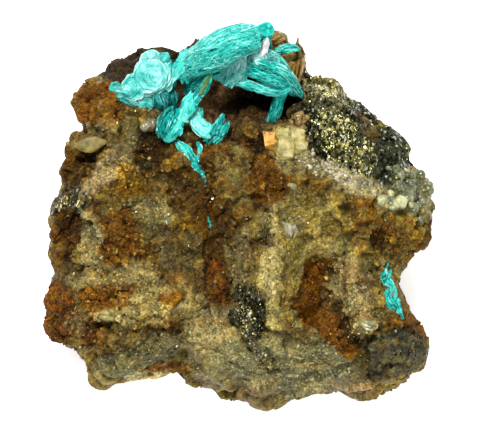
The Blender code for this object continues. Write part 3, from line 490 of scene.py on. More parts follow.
class Shader:
    """A material with a principled shader, and short ways to add nodes to it."""

    def __init__(self, name):
        self.material = bpy.data.materials.new(name)
        self.material.use_nodes = True
        self.tree = self.material.node_tree
        self.tree.nodes.clear()
        output = self.tree.nodes.new("ShaderNodeOutputMaterial")
        self.principled = self.tree.nodes.new("ShaderNodeBsdfPrincipled")
        self.tree.links.new(self.principled.outputs["BSDF"], output.inputs["Surface"])

    def feed(self, made, inputs):
        """Link each named input to a socket, or give it a value."""
        for name, value in inputs.items():
            if isinstance(value, bpy.types.NodeSocket):
                self.tree.links.new(value, made.inputs[name])
            else:
                made.inputs[name].default_value = value

    def made_of(self, inputs):
        """The material, once its principled shader has these inputs."""
        self.feed(self.principled, inputs)
        return self.material

    def node(self, kind, inputs, **settings):
        made = self.tree.nodes.new("ShaderNode" + kind)
        for name, value in settings.items():
            setattr(made, name, value)
        self.feed(made, inputs)
        return made

    def place(self):
        return self.node("TexCoord", {}).outputs["Object"]

    def attribute(self, name, output="Fac"):
        return self.node("Attribute", {}, attribute_name=name).outputs[output]

    def parts(self, colour):
        return self.node("SeparateColor", {"Color": colour}).outputs

    def noise(self, where, scale, detail, roughness):
        inputs = {"Vector": where, "Scale": scale, "Detail": detail, "Roughness": roughness}
        return self.node("TexNoise", inputs).outputs

    def cells(self, where, scale):
        """Scattered cells, and the three parts of the random colour that each has."""
        made = self.node("TexVoronoi", {"Vector": where, "Scale": scale, "Randomness": 1.0}).outputs
        return made, self.parts(made["Color"])

    def times(self, a, b):
        return self.node("Math", {0: a, 1: b}, operation="MULTIPLY").outputs[0]

    def plus(self, a, b, clamp=False):
        return self.node("Math", {0: a, 1: b}, operation="ADD", use_clamp=clamp).outputs[0]

    def above(self, a, b):
        return self.node("Math", {0: a, 1: b}, operation="GREATER_THAN").outputs[0]

    def scaled(self, vector, scale):
        return self.node("VectorMath", {0: vector, "Scale": scale}, operation="SCALE").outputs[0]

    def vector(self, operation, *values):
        return self.node("VectorMath", dict(enumerate(values)), operation=operation).outputs[0]

    def mixed(self, share, a, b):
        return self.node("Mix", {0: share, 6: a, 7: b}, data_type="RGBA").outputs[2]

    def between(self, share, a, b):
        """A number between two others."""
        return self.node("Mix", {0: share, 2: a, 3: b}, data_type="FLOAT").outputs[0]

    def spread(self, value, low, high, to_low=0.0, to_high=1.0):
        inputs = {"Value": value, "From Min": low, "From Max": high, "To Min": to_low, "To Max": to_high}
        return self.node("MapRange", inputs).outputs[0]

    def bump(self, strength, distance, height):
        inputs = {"Strength": strength, "Distance": distance, "Height": height}
        return self.node("Bump", inputs).outputs[0]


def rock_material():
    shader = Shader("stained quartz and sulphide")
    spread, times, plus, above = shader.spread, shader.times, shader.plus, shader.above
    where = shader.place()
    tint = shader.attribute("tint", "Color")
    metal, quartz, earth = shader.parts(shader.attribute("kind", "Color"))
    dust = shader.noise(where, 4200.0, 4.0, 0.7)
    dusty = dust["Fac"]
    blotch = shader.noise(where, 900.0, 5.0, 0.65)["Fac"]
    bent = shader.vector("ADD", where, shader.scaled(dust["Color"], 0.00022))
    grain, grain_tone = shader.cells(bent, 4800.0)
    crumb, crumb_tone = shader.cells(bent, 2000.0)

    shade = spread(grain_tone[0], 0.0, 1.0, 0.5, 1.6)
    shade = times(shade, spread(crumb_tone[1], 0.0, 1.0, 0.78, 1.25))
    shade = times(shade, spread(dusty, 0.25, 0.75, 0.62, 1.38))
    # Painted shade: darker in the crevices that the blotch noise also sinks in the bump, less so in the
    # quartz
    shade = times(shade, spread(blotch, 0.32, 0.52, spread(quartz, 0.2, 1.0, 0.5, 0.82), 1.1))
    # Painted shade in the earth's pits: darker where the dust noise, which also raises the bump, is low
    pits = shader.between(earth, 1.0, spread(dusty, 0.3, 0.6, 0.6, 1.2))
    shaded = shader.scaled(tint, times(shade, pits))

    def flecks(under, tone, threshold, strength, colour):
        return shader.mixed(times(above(tone, threshold), strength), under, paint(colour))

    stone = flecks(shaded, crumb_tone[0], 0.86, spread(earth, 0.3, 1.0, 0.0, 0.35), (124, 72, 16))
    dark_share = times(spread(blotch, 0.42, 0.6, 0.05, 0.7), spread(quartz, 0.3, 1.0, 1.0, 0.45))
    stone = flecks(stone, crumb_tone[2], 0.84, dark_share, (36, 24, 13))
    stone = flecks(stone, grain_tone[2], 0.86, spread(quartz, 0.2, 1.0, 0.1, 0.5), (108, 108, 66))
    # Pale quartz specks that are also painted glints
    stone = flecks(stone, grain_tone[1], 0.95, spread(quartz, 0.35, 1.0, 0.0, 0.5), (212, 198, 140))

    laid = {"Vector": bent, "Rotation": (0.0, 0.0, 0.9), "Scale": (1.0, 0.5, 1.0)}
    hatch, hatch_tone = shader.cells(shader.node("Mapping", laid).outputs[0], 4700.0)
    gold = spread(shader.attribute("gold"), 0.0, 1.0, 0.03, 0.46)
    golden = above(plus(gold, spread(blotch, 0.3, 0.7, -0.12, 0.12)), hatch_tone[2])
    dark_ore = shader.scaled(tint, spread(hatch_tone[0], 0.0, 1.0, 0.1, 1.7))
    ore = shader.mixed(golden, dark_ore, paint((250, 244, 170)))
    # Painted glints: near-white specks on the sulphide
    ore = flecks(ore, hatch_tone[1], 0.95, 0.8, (206, 208, 190))
    ore_share = above(metal, times(crumb_tone[0], 0.9))

    rough = plus(spread(quartz, 0.0, 1.0, 0.85, 0.42), spread(earth, 0.0, 1.0, 0.0, 0.1))
    rough = plus(rough, spread(grain_tone[0], 0.0, 1.0, -0.2, 0.12), clamp=True)
    ore_rough = spread(grain_tone[1], 0.0, 1.0, 0.12, 0.4)

    height = plus(times(crumb["Distance"], -0.6), times(dusty, 0.8))
    height = plus(height, times(blotch, spread(quartz, 0.2, 1.0, 2.4, 1.3)))
    bump = shader.bump(0.7, 0.00014, height)
    turned = shader.mixed(ore_share, grain["Color"], hatch["Color"])
    wobble = shader.vector("SUBTRACT", turned, (0.5, 0.5, 0.5))
    facet_size = plus(spread(quartz, 0.0, 1.0, 0.25, 0.95), times(ore_share, 1.6))
    tipped = shader.vector("ADD", bump, shader.scaled(wobble, facet_size))
    return shader.made_of({
        "Base Color": shader.mixed(ore_share, stone, ore),
        "Metallic": times(ore_share, spread(golden, 0.0, 1.0, 0.35, 0.95)),
        "Roughness": shader.between(ore_share, rough, ore_rough),
        "Specular IOR Level": spread(quartz, 0.0, 1.0, 0.05, 0.32),
        "Normal": shader.vector("NORMALIZE", tipped),
    })


def grain_material(name, roughness, transmission):
    """Loose grains, each with its own colour."""
    shader = Shader(name)
    dust = shader.noise(shader.place(), 3600.0, 3.0, 0.6)["Fac"]
    shade = shader.spread(dust, 0.3, 0.7, 0.8, 1.2)
    return shader.made_of({
        "Base Color": shader.scaled(shader.attribute("tint", "Color"), shade),
        "Roughness": shader.spread(dust, 0.3, 0.7, roughness * 0.6, roughness * 1.5),
        "IOR": QUARTZ_IOR,
        "Transmission Weight": transmission,
    })


def metal_grain_material():
    shader = Shader("sulphide grains")
    dust = shader.noise(shader.place(), 3000.0, 4.0, 0.7)["Fac"]
    shade = shader.spread(dust, 0.3, 0.7, 0.6, 1.25)
    return shader.made_of({
        "Base Color": shader.scaled(shader.attribute("tint", "Color"), shade),
        "Metallic": 0.9,
        "Roughness": shader.spread(dust, 0.3, 0.7, 0.18, 0.5),
        "Normal": shader.bump(0.4, 0.00005, dust),
    })


def plate_material(name, colours, roughness=(0.3, 0.55)):
    """Chalcophyllite. tone runs from 0, painted shade in the gaps between plates, to 1, painted highlight
    on their edges and faces.
    """
    shader = Shader(name)
    streak = shader.noise(shader.attribute("grain", "Vector"), 1.0, 4.0, 0.6)["Fac"]
    cloud = shader.noise(shader.place(), 650.0, 3.0, 0.6)["Fac"]
    level = shader.plus(shader.attribute("tone"), shader.spread(streak, 0.25, 0.75, -0.2, 0.2))
    level = shader.plus(level, shader.spread(cloud, 0.25, 0.75, -0.12, 0.12), clamp=True)
    ramp = shader.node("ValToRGB", {"Fac": level})
    stops = ramp.color_ramp.elements
    stops[0].color = paint(colours[0])
    stops[1].color = paint(colours[-1])
    for k, colour in enumerate(colours[1:-1], start=1):
        stops.new(k / (len(colours) - 1)).color = paint(colour)
    return shader.made_of({
        "Base Color": ramp.outputs["Color"],
        "Roughness": shader.spread(streak, 0.25, 0.75, *roughness),
        "Normal": shader.bump(0.5, 0.00008, streak),
        "Specular IOR Level": 0.35,
        "Subsurface Weight": 0.15,
        "Subsurface Radius": (0.0002, 0.0006, 0.0006),
        "Subsurface Scale": 1.0,
    })


def blade_material(name, colour, transmission, roughness=(0.12, 0.4)):
    shader = Shader(name)
    cloud = shader.noise(shader.place(), 900.0, 4.0, 0.65)["Fac"]
    dark = (*linear(colour) * 0.45, 1.0)
    light = (*np.minimum(linear(colour) * 1.5, 0.9), 1.0)
    return shader.made_of({
        "Base Color": shader.mixed(shader.spread(cloud, 0.35, 0.65), dark, light),
        "Roughness": shader.spread(cloud, 0.3, 0.7, *roughness),
        "IOR": QUARTZ_IOR,
        "Transmission Weight": transmission,
        "Normal": shader.bump(0.4, 0.0001, cloud),
    })


# Meshes

LAYERS = {
    "tint": ("FLOAT_COLOR", "color"),
    "kind": ("FLOAT_COLOR", "color"),
    "tone": ("FLOAT", "value"),
    "gold": ("FLOAT", "value"),
    "grain": ("FLOAT_VECTOR", "vector"),
}


def from_outline(points):
    """Metres in the scene, from millimetres in the outline's coordinates."""
    return (np.asarray(points, float) - DATUM) * MM


def to_outline(points):
    return np.asarray(points, float) / MM + DATUM


def dress(piece, material, slot, replaced=(), **layers):
    """Give a piece its material, a layer of values for its points under each name, and its body. slot is
    not used.
    """
    mesh = piece.data
    for name, values in layers.items():
        kind, field = LAYERS[name]
        if kind == "FLOAT_COLOR":
            values = np.concatenate([values, np.ones((len(values), 1))], axis=1)
        layer = mesh.attributes.new(name, kind, "POINT")
        layer.data.foreach_set(field, np.asarray(values, np.float32).ravel())
    mesh.materials.clear()
    mesh.materials.append(material)
    bpy.context.scene.collection.objects.link(piece)
    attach(piece, "root")
    if replaced:
        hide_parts(*replaced)
    return piece


class Joined:
    """Loose shapes gathered into one mesh, with their layers."""

    def __init__(self):
        self.points, self.faces, self.layers, self.start = [], [], {}, 0

    def add(self, points, faces, **layers):
        self.points.append(points)
        self.faces += [tuple(self.start + k for k in face) for face in faces]
        self.start += len(points)
        for name, values in layers.items():
            self.layers.setdefault(name, []).append(values)

    def piece(self, name, material, slot, replaced=()):
        """The gathered mesh as a piece that rides on the root body."""
        mesh = bpy.data.meshes.new(name)
        mesh.from_pydata([tuple(p) for p in from_outline(np.concatenate(self.points))], [], self.faces)
        mesh.update()
        layers = {key: np.concatenate(values) for key, values in self.layers.items()}
        return dress(bpy.data.objects.new(name, mesh), material, slot, replaced, **layers)


def for_each(value, points):
    """One value, repeated for all the points of a shape."""
    return np.repeat(np.asarray(value)[None], len(points), axis=0)


def vertex_arrays(mesh):
    count = len(mesh.vertices)
    points, normals = np.empty(count * 3), np.empty(count * 3)
    mesh.vertices.foreach_get("co", points)
    mesh.vertices.foreach_get("normal", normals)
    return points.reshape(-1, 3), normals.reshape(-1, 3)


def ray_tree(mesh):
    """A mesh to cast rays at, in the outline's coordinates."""
    points, _ = vertex_arrays(mesh)
    faces = [tuple(polygon.vertices) for polygon in mesh.polygons]
    return BVHTree.FromPolygons([tuple(p) for p in to_outline(points)], faces)


def drop(tree, x, y):
    """Where a plumb line at x and y meets the mesh, or None."""
    return tree.ray_cast(Vector((x, y, SKY)), Vector((0, 0, -1)))[0]


def turn_matrix(turn, lean=0):
    """A lean about x and then a turn about z, in degrees."""
    about_x = Matrix.Rotation(math.radians(lean), 3, "X")
    return np.array(Matrix.Rotation(math.radians(turn), 3, "Z") @ about_x)


def random_turn(draw):
    return np.array(Euler(draw.uniform(0, 2 * math.pi, 3)).to_matrix())


def random_spot(draw, centre, half, turn, wide, limit):
    """A random place in a turned ellipse, more often near its middle."""
    angle = math.radians(turn)
    away = draw.normal(0, wide, 2).clip(-limit, limit) * half
    return (centre[0] + away[0] * math.cos(angle) - away[1] * math.sin(angle),
            centre[1] + away[0] * math.sin(angle) + away[1] * math.cos(angle))


def fine_rock_mesh():
    """The CAD rock on an even grid, finer on the crystal side."""
    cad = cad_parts["matrix"]
    copy = bpy.data.objects.new("rock grid", cad.data.copy())
    bpy.context.scene.collection.objects.link(copy)
    weld = copy.modifiers.new("weld", "WELD")
    weld.merge_threshold = 0.000001
    grid = copy.modifiers.new("grid", "REMESH")
    grid.mode = "VOXEL"
    grid.voxel_size = REMESH * MM
    graph = bpy.context.evaluated_depsgraph_get()
    mesh = bpy.data.meshes.new_from_object(copy.evaluated_get(graph), depsgraph=graph)
    bpy.data.objects.remove(copy)

    bm = bmesh.new()
    bm.from_mesh(mesh)
    bm.normal_update()
    fine = [f for f in bm.faces if f.normal.z > -0.25 and f.calc_center_median().z > FINE_FROM]
    edges = list({edge for face in fine for edge in face.edges})
    bmesh.ops.subdivide_edges(bm, edges=edges, cuts=1, use_grid_fill=True)
    bmesh.ops.triangulate(bm, faces=[f for f in bm.faces if len(f.verts) > 4])
    for _ in range(2):
        bmesh.ops.smooth_vert(bm, verts=bm.verts, factor=0.5,
                              use_axis_x=True, use_axis_y=True, use_axis_z=True)
    bm.to_mesh(mesh)
    bm.free()
    return mesh


def build_rock(material):
    """The fine rock, roughened by what it is made of, in place of the CAD one."""
    mesh = fine_rock_mesh()
    points, normals = vertex_arrays(mesh)
    at = to_outline(points)
    _, kind, depth = rock_looks(at)
    metal, quartz, earth = kind.T
    bent = at + 0.3 * np.stack([rough_noise(at, 0.9, 141 + k, octaves=2) for k in range(3)], axis=1)
    wide, _ = break_faces(bent, 2.6, 0.40, 101)
    coarse, _ = break_faces(bent, 1.2, 0.36, 107)
    small, _ = break_faces(bent, 0.55, 0.3, 113)
    blocks = block_bumps(at, 0.6, 127)
    soft = rough_noise(at, 0.9, 131, octaves=4, fall=0.62)
    lift = (1.0 - 0.5 * metal) * (wide + coarse) + (0.5 + 0.6 * earth + 0.4 * metal) * small
    lift += blocks * (0.16 * quartz + 0.15 * metal + 0.05)
    lift += soft * (0.14 + 0.3 * earth)
    lift += 0.25 * quartz * (1.0 - metal) * streaks(at, -20, 509)
    calm = 1.0 - 0.72 * calm_share(at) * quartz
    lift *= calm
    pits = ease(-3.2 * rough_noise(at, 0.85, 157, octaves=3) - 0.5)
    lift -= 0.55 * pits * (0.35 + 0.65 * earth) * calm
    lift += depth * (0.7 * rough_noise(at, 1.6, 137) + 0.8 * block_bumps(at, 1.3, 139))
    lift -= 0.12
    ragged = rough_noise(at, 1.3, 151)
    on_top = ease(normals[:, 2] * 2.0 - 0.4)
    bent_x, bent_y = bent_places(at)
    for centre, half, turn, height, edge in RELIEF:
        inside = in_patch(bent_x, bent_y, centre, half, turn)
        lift += height * ease(0.5 + 2.4 * inside + edge * 1.3 * ragged) * (inside > -0.7) * on_top
    up_from_base = ease(at[:, 2] / 1.2)
    flank = ease(1.0 - np.abs(normals[:, 2]) * 1.4)
    swell = 0.14 * np.ones(len(at))
    for (x, y), reach, height in OUTLINE_SWELL:
        swell += height * ease(1.0 - np.hypot(at[:, 0] - x, at[:, 1] - y) / reach)
    lift = np.minimum(lift, LIFT_LIMIT) * (1.0 - 0.6 * flank) + swell * flank
    moved = at + normals * (lift * up_from_base)[:, None]
    moved[:, 2] = np.maximum(moved[:, 2], 0.0)
    mesh.vertices.foreach_set("co", from_outline(moved).ravel())
    mesh.update()
    colour, kind, _ = rock_looks(moved)
    # Painted shade and light: the rock's colour is darker where roughness sinks it and lighter where it is
    # raised
    hollow_shade = ease(0.5 - 1.3 * (lift - 0.05))
    colour = np.clip(colour * (1.25 - 0.75 * hollow_shade)[:, None], 0.001, 1)
    rock = bpy.data.objects.new("rock_look", mesh)
    dress(rock, material, "rock", ("matrix",), tint=colour, kind=kind, gold=golden_share(moved))
    mesh.shade_smooth()
    return rock


# Shapes of single crystals, about one unit across

def six_sided(draw, long=1.0):
    """A six-sided prism with pointed ends."""
    ring = []
    for level, radius in ((-0.28 * long, 0.5), (0.28 * long, 0.5)):
        for i in range(6):
            angle = math.pi * (i / 3.0 + draw.uniform(-0.03, 0.03))
            ring.append((radius * math.cos(angle), radius * math.sin(angle), level))
    points = np.array([*ring, (0, 0, -0.62 * long), (0, 0, 0.62 * long)])
    faces = [(i, (i + 1) % 6, 6 + (i + 1) % 6, 6 + i) for i in range(6)]
    faces += [(12, (i + 1) % 6, i) for i in range(6)]
    faces += [(13, 6 + i, 6 + (i + 1) % 6) for i in range(6)]
    return points, faces


def take_shape(bm):
    """The points and faces of a bmesh, which is then freed."""
    points = np.array([v.co[:] for v in bm.verts])
    faces = [tuple(v.index for v in f.verts) for f in bm.faces]
    bm.free()
    return points, faces


def chip(draw):
    """An irregular block with flat faces."""
    bm = bmesh.new()
    bmesh.ops.create_cube(bm, size=1.0)
    points, faces = take_shape(bm)
    return points * (1.0 + draw.uniform(-0.28, 0.2, (8, 3))), faces


def rounded_shape(draw, pointed=0.0):
    """A rounded blob half a unit in radius, or with pointed ends along x."""
    bm = bmesh.new()
    bmesh.ops.create_icosphere(bm, subdivisions=2 + (pointed > 0), radius=0.5)
    points, faces = take_shape(bm)
    bumps = 1.0 + 0.22 * rough_noise(points + draw.uniform(0, 40, 3), 0.45, 7, octaves=2)
    narrow = 1.0 - pointed * np.abs(2.0 * points[:, :1]) ** 2
    return points * bumps[:, None] * np.concatenate([np.ones_like(narrow), narrow, narrow], axis=1), faces


def crag(draw):
    """A broken piece: the hull of some points on a squashed sphere."""
    bm = bmesh.new()
    for way in draw.normal(size=(11, 3)):
        bm.verts.new(0.5 * way / np.linalg.norm(way) * draw.uniform(0.8, 1.0))
    made = bmesh.ops.convex_hull(bm, input=bm.verts)
    inside = [part for part in made["geom_interior"] if isinstance(part, bmesh.types.BMVert)]
    bmesh.ops.delete(bm, geom=inside, context="VERTS")
    bm.verts.index_update()
    return take_shape(bm)


def ring_faces(rows, columns):
    """Faces of a closed tube of rows of points, with both ends capped."""
    faces = []
    for r in range(rows - 1):
        for c in range(columns):
            d = (c + 1) % columns
            faces.append((r * columns + c, r * columns + d, (r + 1) * columns + d, (r + 1) * columns + c))
    faces.append(tuple(range(columns - 1, -1, -1)))
    faces.append(tuple((rows - 1) * columns + c for c in range(columns)))
    return faces


def crystal_shape(draw, sides):
    """A tapered prism with a stepped, slanting top; its tip is at 0 and its foot at -1."""
    angle = 2 * math.pi * (np.arange(sides) + 0.5) / sides + draw.uniform(-0.12, 0.12, sides)
    slant = draw.uniform(-0.14, 0.14, 2)
    points = []
    for level, radius in ((-1.0, 0.6), (-0.2, 0.42), (-0.07, 0.33), (0.0, 0.16)):
        reach = radius * (1 + draw.uniform(-0.08, 0.08, sides))
        x, y = reach * np.cos(angle), reach * np.sin(angle)
        z = np.full(sides, level) + (slant[0] * x + slant[1] * y) * (level > -0.5)
        points.append(np.stack([x, y, z], axis=1))
    return np.concatenate(points), ring_faces(4, sides)


# Grains, crystals and broken pieces set in the rock

def golden_share(points):
    """How golden the sulphide is: most on the face that looks to the upper left, and on a few spots."""
    share = np.zeros(len(points))
    for centre, half, turn in GOLDEN_FACES:
        inside = in_patch(points[:, 0], points[:, 1], centre, half, turn)
        share = np.maximum(share, ease(0.35 + 2.0 * inside))
    return share


def scatter(name, shapes, places, material):
    """Many small crystals in one piece: places holds (point, size, turn matrix, stretch, colour)."""
    joined = Joined()
    for i, (spot, size, turn, stretch, tint) in enumerate(places):
        points, faces = shapes[i % len(shapes)]
        joined.add((points * stretch * size) @ turn.T + spot, faces, tint=for_each(tint, points))
    joined.piece(name, material, "rock")


def add_grains(tree, quartz_material, metal_material, crumb_material):
    """Quartz, sulphide and rusty grains set in the rock's surface wherever its looks call for them."""
    draw = np.random.default_rng(20)
    across = draw.uniform(-21.5, 21.5, GRAIN_TRIES)
    up = draw.uniform(-21.5, 20.5, GRAIN_TRIES)
    hits = [drop(tree, x, y) for x, y in zip(across, up)]
    at = np.array([hit[:] for hit in hits if hit is not None and hit.z > LOWEST_GRAIN])
    colour, kind, depth = rock_looks(at)
    metal, quartz, earth = kind.T
    golden_here = golden_share(at)
    dark, gold = linear((56, 58, 46)), linear((244, 238, 160))
    pick = draw.uniform(0, 1, len(at))

    def grains(here, least, extra, power, stretch, tint, sunk=0.0):
        """Point, size, turn, stretch and colour of a grain at each chosen spot."""
        made = []
        for i in np.flatnonzero(here):
            size = least + extra * draw.uniform() ** power
            spot = at[i] - (0, 0, sunk * size)
            made.append((spot, size, random_turn(draw), draw.uniform(*stretch, 3), tint(i)))
        return made

    def quartz_tint(i):
        return np.clip(colour[i] * draw.uniform(0.7, 1.5) + 0.04 * draw.uniform() ** 3, 0, 0.8)

    def metal_tint(i):
        golden = draw.uniform() < 0.08 + 0.6 * golden_here[i]
        return (gold if golden else dark) * draw.uniform(0.6, 1.3)

    def crumb_tint(i):
        return np.clip(colour[i] * draw.uniform(0.7, 1.2), 0, 1)

    shapes = [six_sided(draw, long=draw.uniform(0.8, 1.6)) for _ in range(12)]
    here = pick < 0.15 * quartz * (1 - 0.6 * depth) * (1 - metal)
    scatter("quartz_grains", shapes, grains(here, 0.13, 0.3, 4, (0.6, 1.3), quartz_tint), quartz_material)

    shapes = [chip(draw) for _ in range(24)]
    here = (pick > 0.3) & (pick < 0.3 + 0.5 * np.maximum(metal - 0.2, 0))
    places = grains(here, 0.1, 0.22, 3, (0.3, 1.3), metal_tint, sunk=0.2)
    scatter("sulphide_grains", shapes, places, metal_material)

    here = (pick > 0.85) & (pick < 0.85 + 0.15 * earth)
    places = grains(here, 0.1, 0.2, 3, (0.6, 1.2), crumb_tint)
    scatter("rusty_crumbs", [chip(draw) for _ in range(12)], places, crumb_material)


# Single crystals: name, look, sides or 0 for a block, (x, y), (length, width, depth), turn, lean and how
# many stand side by side
CRYSTALS = [
    ("brown_blade", "brown", 4, (6.3, 15.9), (4.9, 2.1, 4.5), 78, 4, 4),
    ("brown_knob", "brown", 6, (4.5, 19.0), (1.9, 1.6, 3.0), 30, 8, 3),
    ("orange_quartz", "orange", 0, (3.4, 8.3), (1.6, 1.7, 1.9), 8, -14, 1),
    ("pale_quartz", "cream", 6, (6.0, 8.1), (4.6, 4.4, 3.6), 100, 8, 2),
    ("white_quartz", "frost", 5, (6.0, -1.6), (1.9, 1.4, 1.6), 100, 14, 2),
    ("pink_quartz", "white", 5, (14.1, -12.1), (1.8, 1.2, 1.8), -20, 8, 3),
    ("pale_left_lump", "pale", 6, (-14.3, -11.0), (2.0, 1.2, 1.8), -8, 0, 2),
]
# The rounded blade at the left: (x, y), (length, width, depth), turn, lean
LEFT_BLADE = ((-16.1, 7.7), (3.9, 1.8, 0.7), 7, 12)
# Crags: middle, (half length, half width), turn, how many, (least, most) size, colours mixed in
CRAGS = [
    ((12.6, -9.4), (2.4, 4.4), 16, 120, (0.3, 1.1),
     (PINKISH, CREAM, GREY_QUARTZ, BROWN, PALE_QUARTZ, DARK_SPECK_AND_SHADE)),
    ((10.6, -10.4), (1.2, 4.0), 26, 70, (0.25, 1.0), (BROWN, RED_BROWN, PINKISH, PALE_QUARTZ, DARK_SPECK_AND_SHADE)),
    ((8.2, -10.4), (1.6, 4.4), 6, 80, (0.2, 0.7), (ORANGE_RUST, RUST, DARK_RED)),
    ((3.6, 3.8), (2.6, 2.4), 0, 80, (0.25, 0.9), (RUST, RED_BROWN, OCHRE, DARK_RED)),
    ((-15.3, -9.2), (2.4, 1.4), 0, 60, (0.3, 1.0), (ORANGE_RUST, RUST, PALE_QUARTZ)),
    ((-10.5, -9.2), (5.6, 3.2), 0, 220, (0.25, 1.1),
     (GREY_QUARTZ, PALE_QUARTZ, ORANGE_RUST, BLUE_GREY, KHAKI)),
    ((-17.2, -11.6), (1.8, 2.0), 0, 60, (0.3, 0.9), (PINKISH, RED_BROWN, RUST)),
    ((-12.0, -2.6), (4.0, 3.6), -8, 170, (0.25, 1.0), (RUST, RED_BROWN, GREY_QUARTZ, KHAKI, BROWN)),
    ((-12.6, 5.2), (4.4, 1.8), 46, 150, (0.25, 1.0), (GREY_QUARTZ, PINKISH, PALE_QUARTZ, BROWN)),
    ((-15.0, 12.2), (3.0, 2.4), 10, 120, (0.2, 0.8), (RUST, OCHRE, BROWN, RED_BROWN)),
    ((-16.2, -3.4), (1.6, 4.2), 5, 80, (0.3, 1.0), (GREY_QUARTZ, PALE_QUARTZ, BROWN, BLUE_GREY)),
    ((1.0, 9.6), (3.0, 2.0), 0, 80, (0.3, 1.2), (BROWN, DARK_SPECK_AND_SHADE, DARK_RED)),
    ((-4.4, 4.0), (3.2, 4.4), 0, 170, (0.25, 0.9), (BROWN, DARK_RED, KHAKI, GREY_QUARTZ)),
    ((-2.4, -12.6), (3.6, 3.2), 0, 70, (0.25, 0.8), (PALE_QUARTZ, GREY_QUARTZ, BLUE_GREY)),
    ((16.6, -1.6), (3.6, 3.0), 0, 130, (0.25, 1.0), (OCHRE, BROWN, RUST, KHAKI)),
    ((8.8, -0.6), (3.6, 3.6), 0, 120, (0.25, 0.9), (KHAKI, PALE_QUARTZ, OCHRE, GREEN_GREY)),
    ((17.6, -15.2), (3.0, 2.0), 0, 40, (0.2, 0.6), (DARK_GREY, DARK_SPECK_AND_SHADE, (70, 72, 58))),
    ((14.4, 8.6), (3.6, 3.0), -40, 150, (0.25, 1.1), (DARK_GREY, (74, 74, 52), DARK_SPECK_AND_SHADE)),
    ((9.0, 13.8), (2.6, 1.6), -20, 80, (0.2, 0.8), (DARK_GREY, (110, 104, 70), DARK_SPECK_AND_SHADE)),
]
# Splinters that lie one way, as above with the way in place of the turn
SPLINTERS = [
    ((11.6, -8.6), (2.4, 4.4), -56, 130, (0.5, 1.7), (BROWN, DARK_RED, PALE_QUARTZ, DARK_SPECK_AND_SHADE, DARK_SPECK_AND_SHADE)),
    ((11.6, -12.6), (2.0, 2.0), -50, 50, (0.5, 1.4), (BROWN, DARK_RED, PINKISH, DARK_SPECK_AND_SHADE, CREAM)),
    ((-2.2, -6.6), (1.3, 4.0), 88, 60, (0.4, 1.2), (RED_BROWN, DARK_RED, DARK_SPECK_AND_SHADE, PINKISH)),
    ((4.6, -6.0), (2.6, 7.0), 88, 40, (0.4, 1.6), (PALE_QUARTZ, KHAKI, OLIVE)),
    ((4.0, -16.0), (7.0, 2.2), -10, 90, (0.4, 1.6), (GREEN_GREY, BLUE_GREY, PALE_QUARTZ)),
    ((-10.0, -14.8), (4.6, 1.6), 24, 60, (0.4, 1.4), (GREEN_GREY, BLUE_GREY, BROWN)),
    ((-17.6, -9.6), (2.0, 3.4), 80, 50, (0.4, 1.2), (RED_BROWN, RUST, PINKISH)),
    ((-13.2, 5.4), (3.6, 1.6), 46, 50, (0.4, 1.2), (PINKISH, GREY_QUARTZ, BROWN)),
]
# Rounded lumps: name, look, middle, (half length, half width), turn, how many, (least, most) size, then
# height over width
LUMPS = [
    ("green_quartz", "grey", (18.7, 2.3), (3.1, 2.9), 0, 80, (0.5, 1.5), 0.9),
    ("pale_bubbles", "white", (17.1, 1.5), (1.8, 0.8), 0, 10, (0.8, 1.5), 0.85),
    ("white_druse", "frost", (10.9, 4.6), (5.8, 1.2), -25, 220, (0.18, 0.55), 1.0),
    ("vug_quartz", "pink", (6.7, 10.4), (1.1, 1.0), 0, 16, (0.6, 1.2), 0.9),
    ("clear_quartz", "clear", (-9.8, 9.7), (0.5, 0.6), 0, 5, (1.1, 1.8), 0.7),
    ("round_quartz", "matt", (5.8, 2.9), (0.1, 0.1), 0, 1, (1.3, 1.4), 0.6),
    ("lower_druse", "frost", (0.9, -11.4), (2.0, 4.0), 10, 36, (0.12, 0.36), 1.0),
]
# Looks of crystals: colour, how clear, (least, most) roughness
CRYSTAL_LOOKS = {
    "brown": ((138, 104, 44), 0.15),
    "matt": ((120, 116, 76), 0.0, (0.5, 0.9)),
    "pale": ((186, 174, 108), 0.35),
    "cream": ((206, 190, 120), 0.3, (0.25, 0.5)),
    "clear": ((176, 164, 134), 0.55),
    "orange": ((224, 152, 62), 0.1, (0.2, 0.4)),
    "frost": ((190, 182, 150), 0.3),
    "pink": ((158, 124, 70), 0.35),
    "grey": ((126, 130, 92), 0.35),
    "white": ((192, 192, 140), 0.3),
}


def build_crags(tree, material):
    """Broken pieces half sunk in the rock, in its own looks with a little of another colour."""
    draw = np.random.default_rng(91)
    shapes = [crag(draw) for _ in range(40)]
    spots, sizes, others, ways = [], [], [], []
    for number, (centre, half, turn, count, (least, most), colours) in enumerate(CRAGS + SPLINTERS):
        splinters = number >= len(CRAGS)
        for _ in range(count):
            place = drop(tree, *random_spot(draw, centre, half, 0 if splinters else turn, 0.5, 1.1))
            if place is not None and place.z > LOWEST_CRYSTAL:
                spots.append(place[:])
                sizes.append(least + (most - least) * draw.uniform() ** 2.5)
                others.append(linear(colours[draw.integers(len(colours))]))
                ways.append(math.radians(turn + draw.normal(0, 9)) if splinters else None)
    spots = np.array(spots)
    colour, kind, _ = rock_looks(spots)
    colour += 0.8 * (np.array(others) - colour) * draw.uniform(0, 1, (len(spots), 1)) ** 1.5
    colour = np.clip(colour * draw.uniform(0.7, 1.3, (len(spots), 1)), 0.001, 1)
    joined = Joined()
    for i, spot in enumerate(spots):
        shape, faces = shapes[i % len(shapes)]
        stretch = sizes[i] * draw.uniform(0.6, 1.2, 3)
        turned = random_turn(draw)
        if ways[i] is not None:
            stretch *= (1.5, 0.45, 0.6)
            angles = (draw.uniform(-0.6, 0.6), draw.uniform(-0.2, 0.2), ways[i])
            turned = np.array(Euler(angles).to_matrix())
        points = (shape * stretch) @ turned.T + spot - (0, 0, 0.2 * stretch.mean())
        joined.add(points, faces, tint=for_each(colour[i], shape), kind=for_each(kind[i], shape),
                   gold=golden_share(points))
    joined.piece("crags", material, "rock")


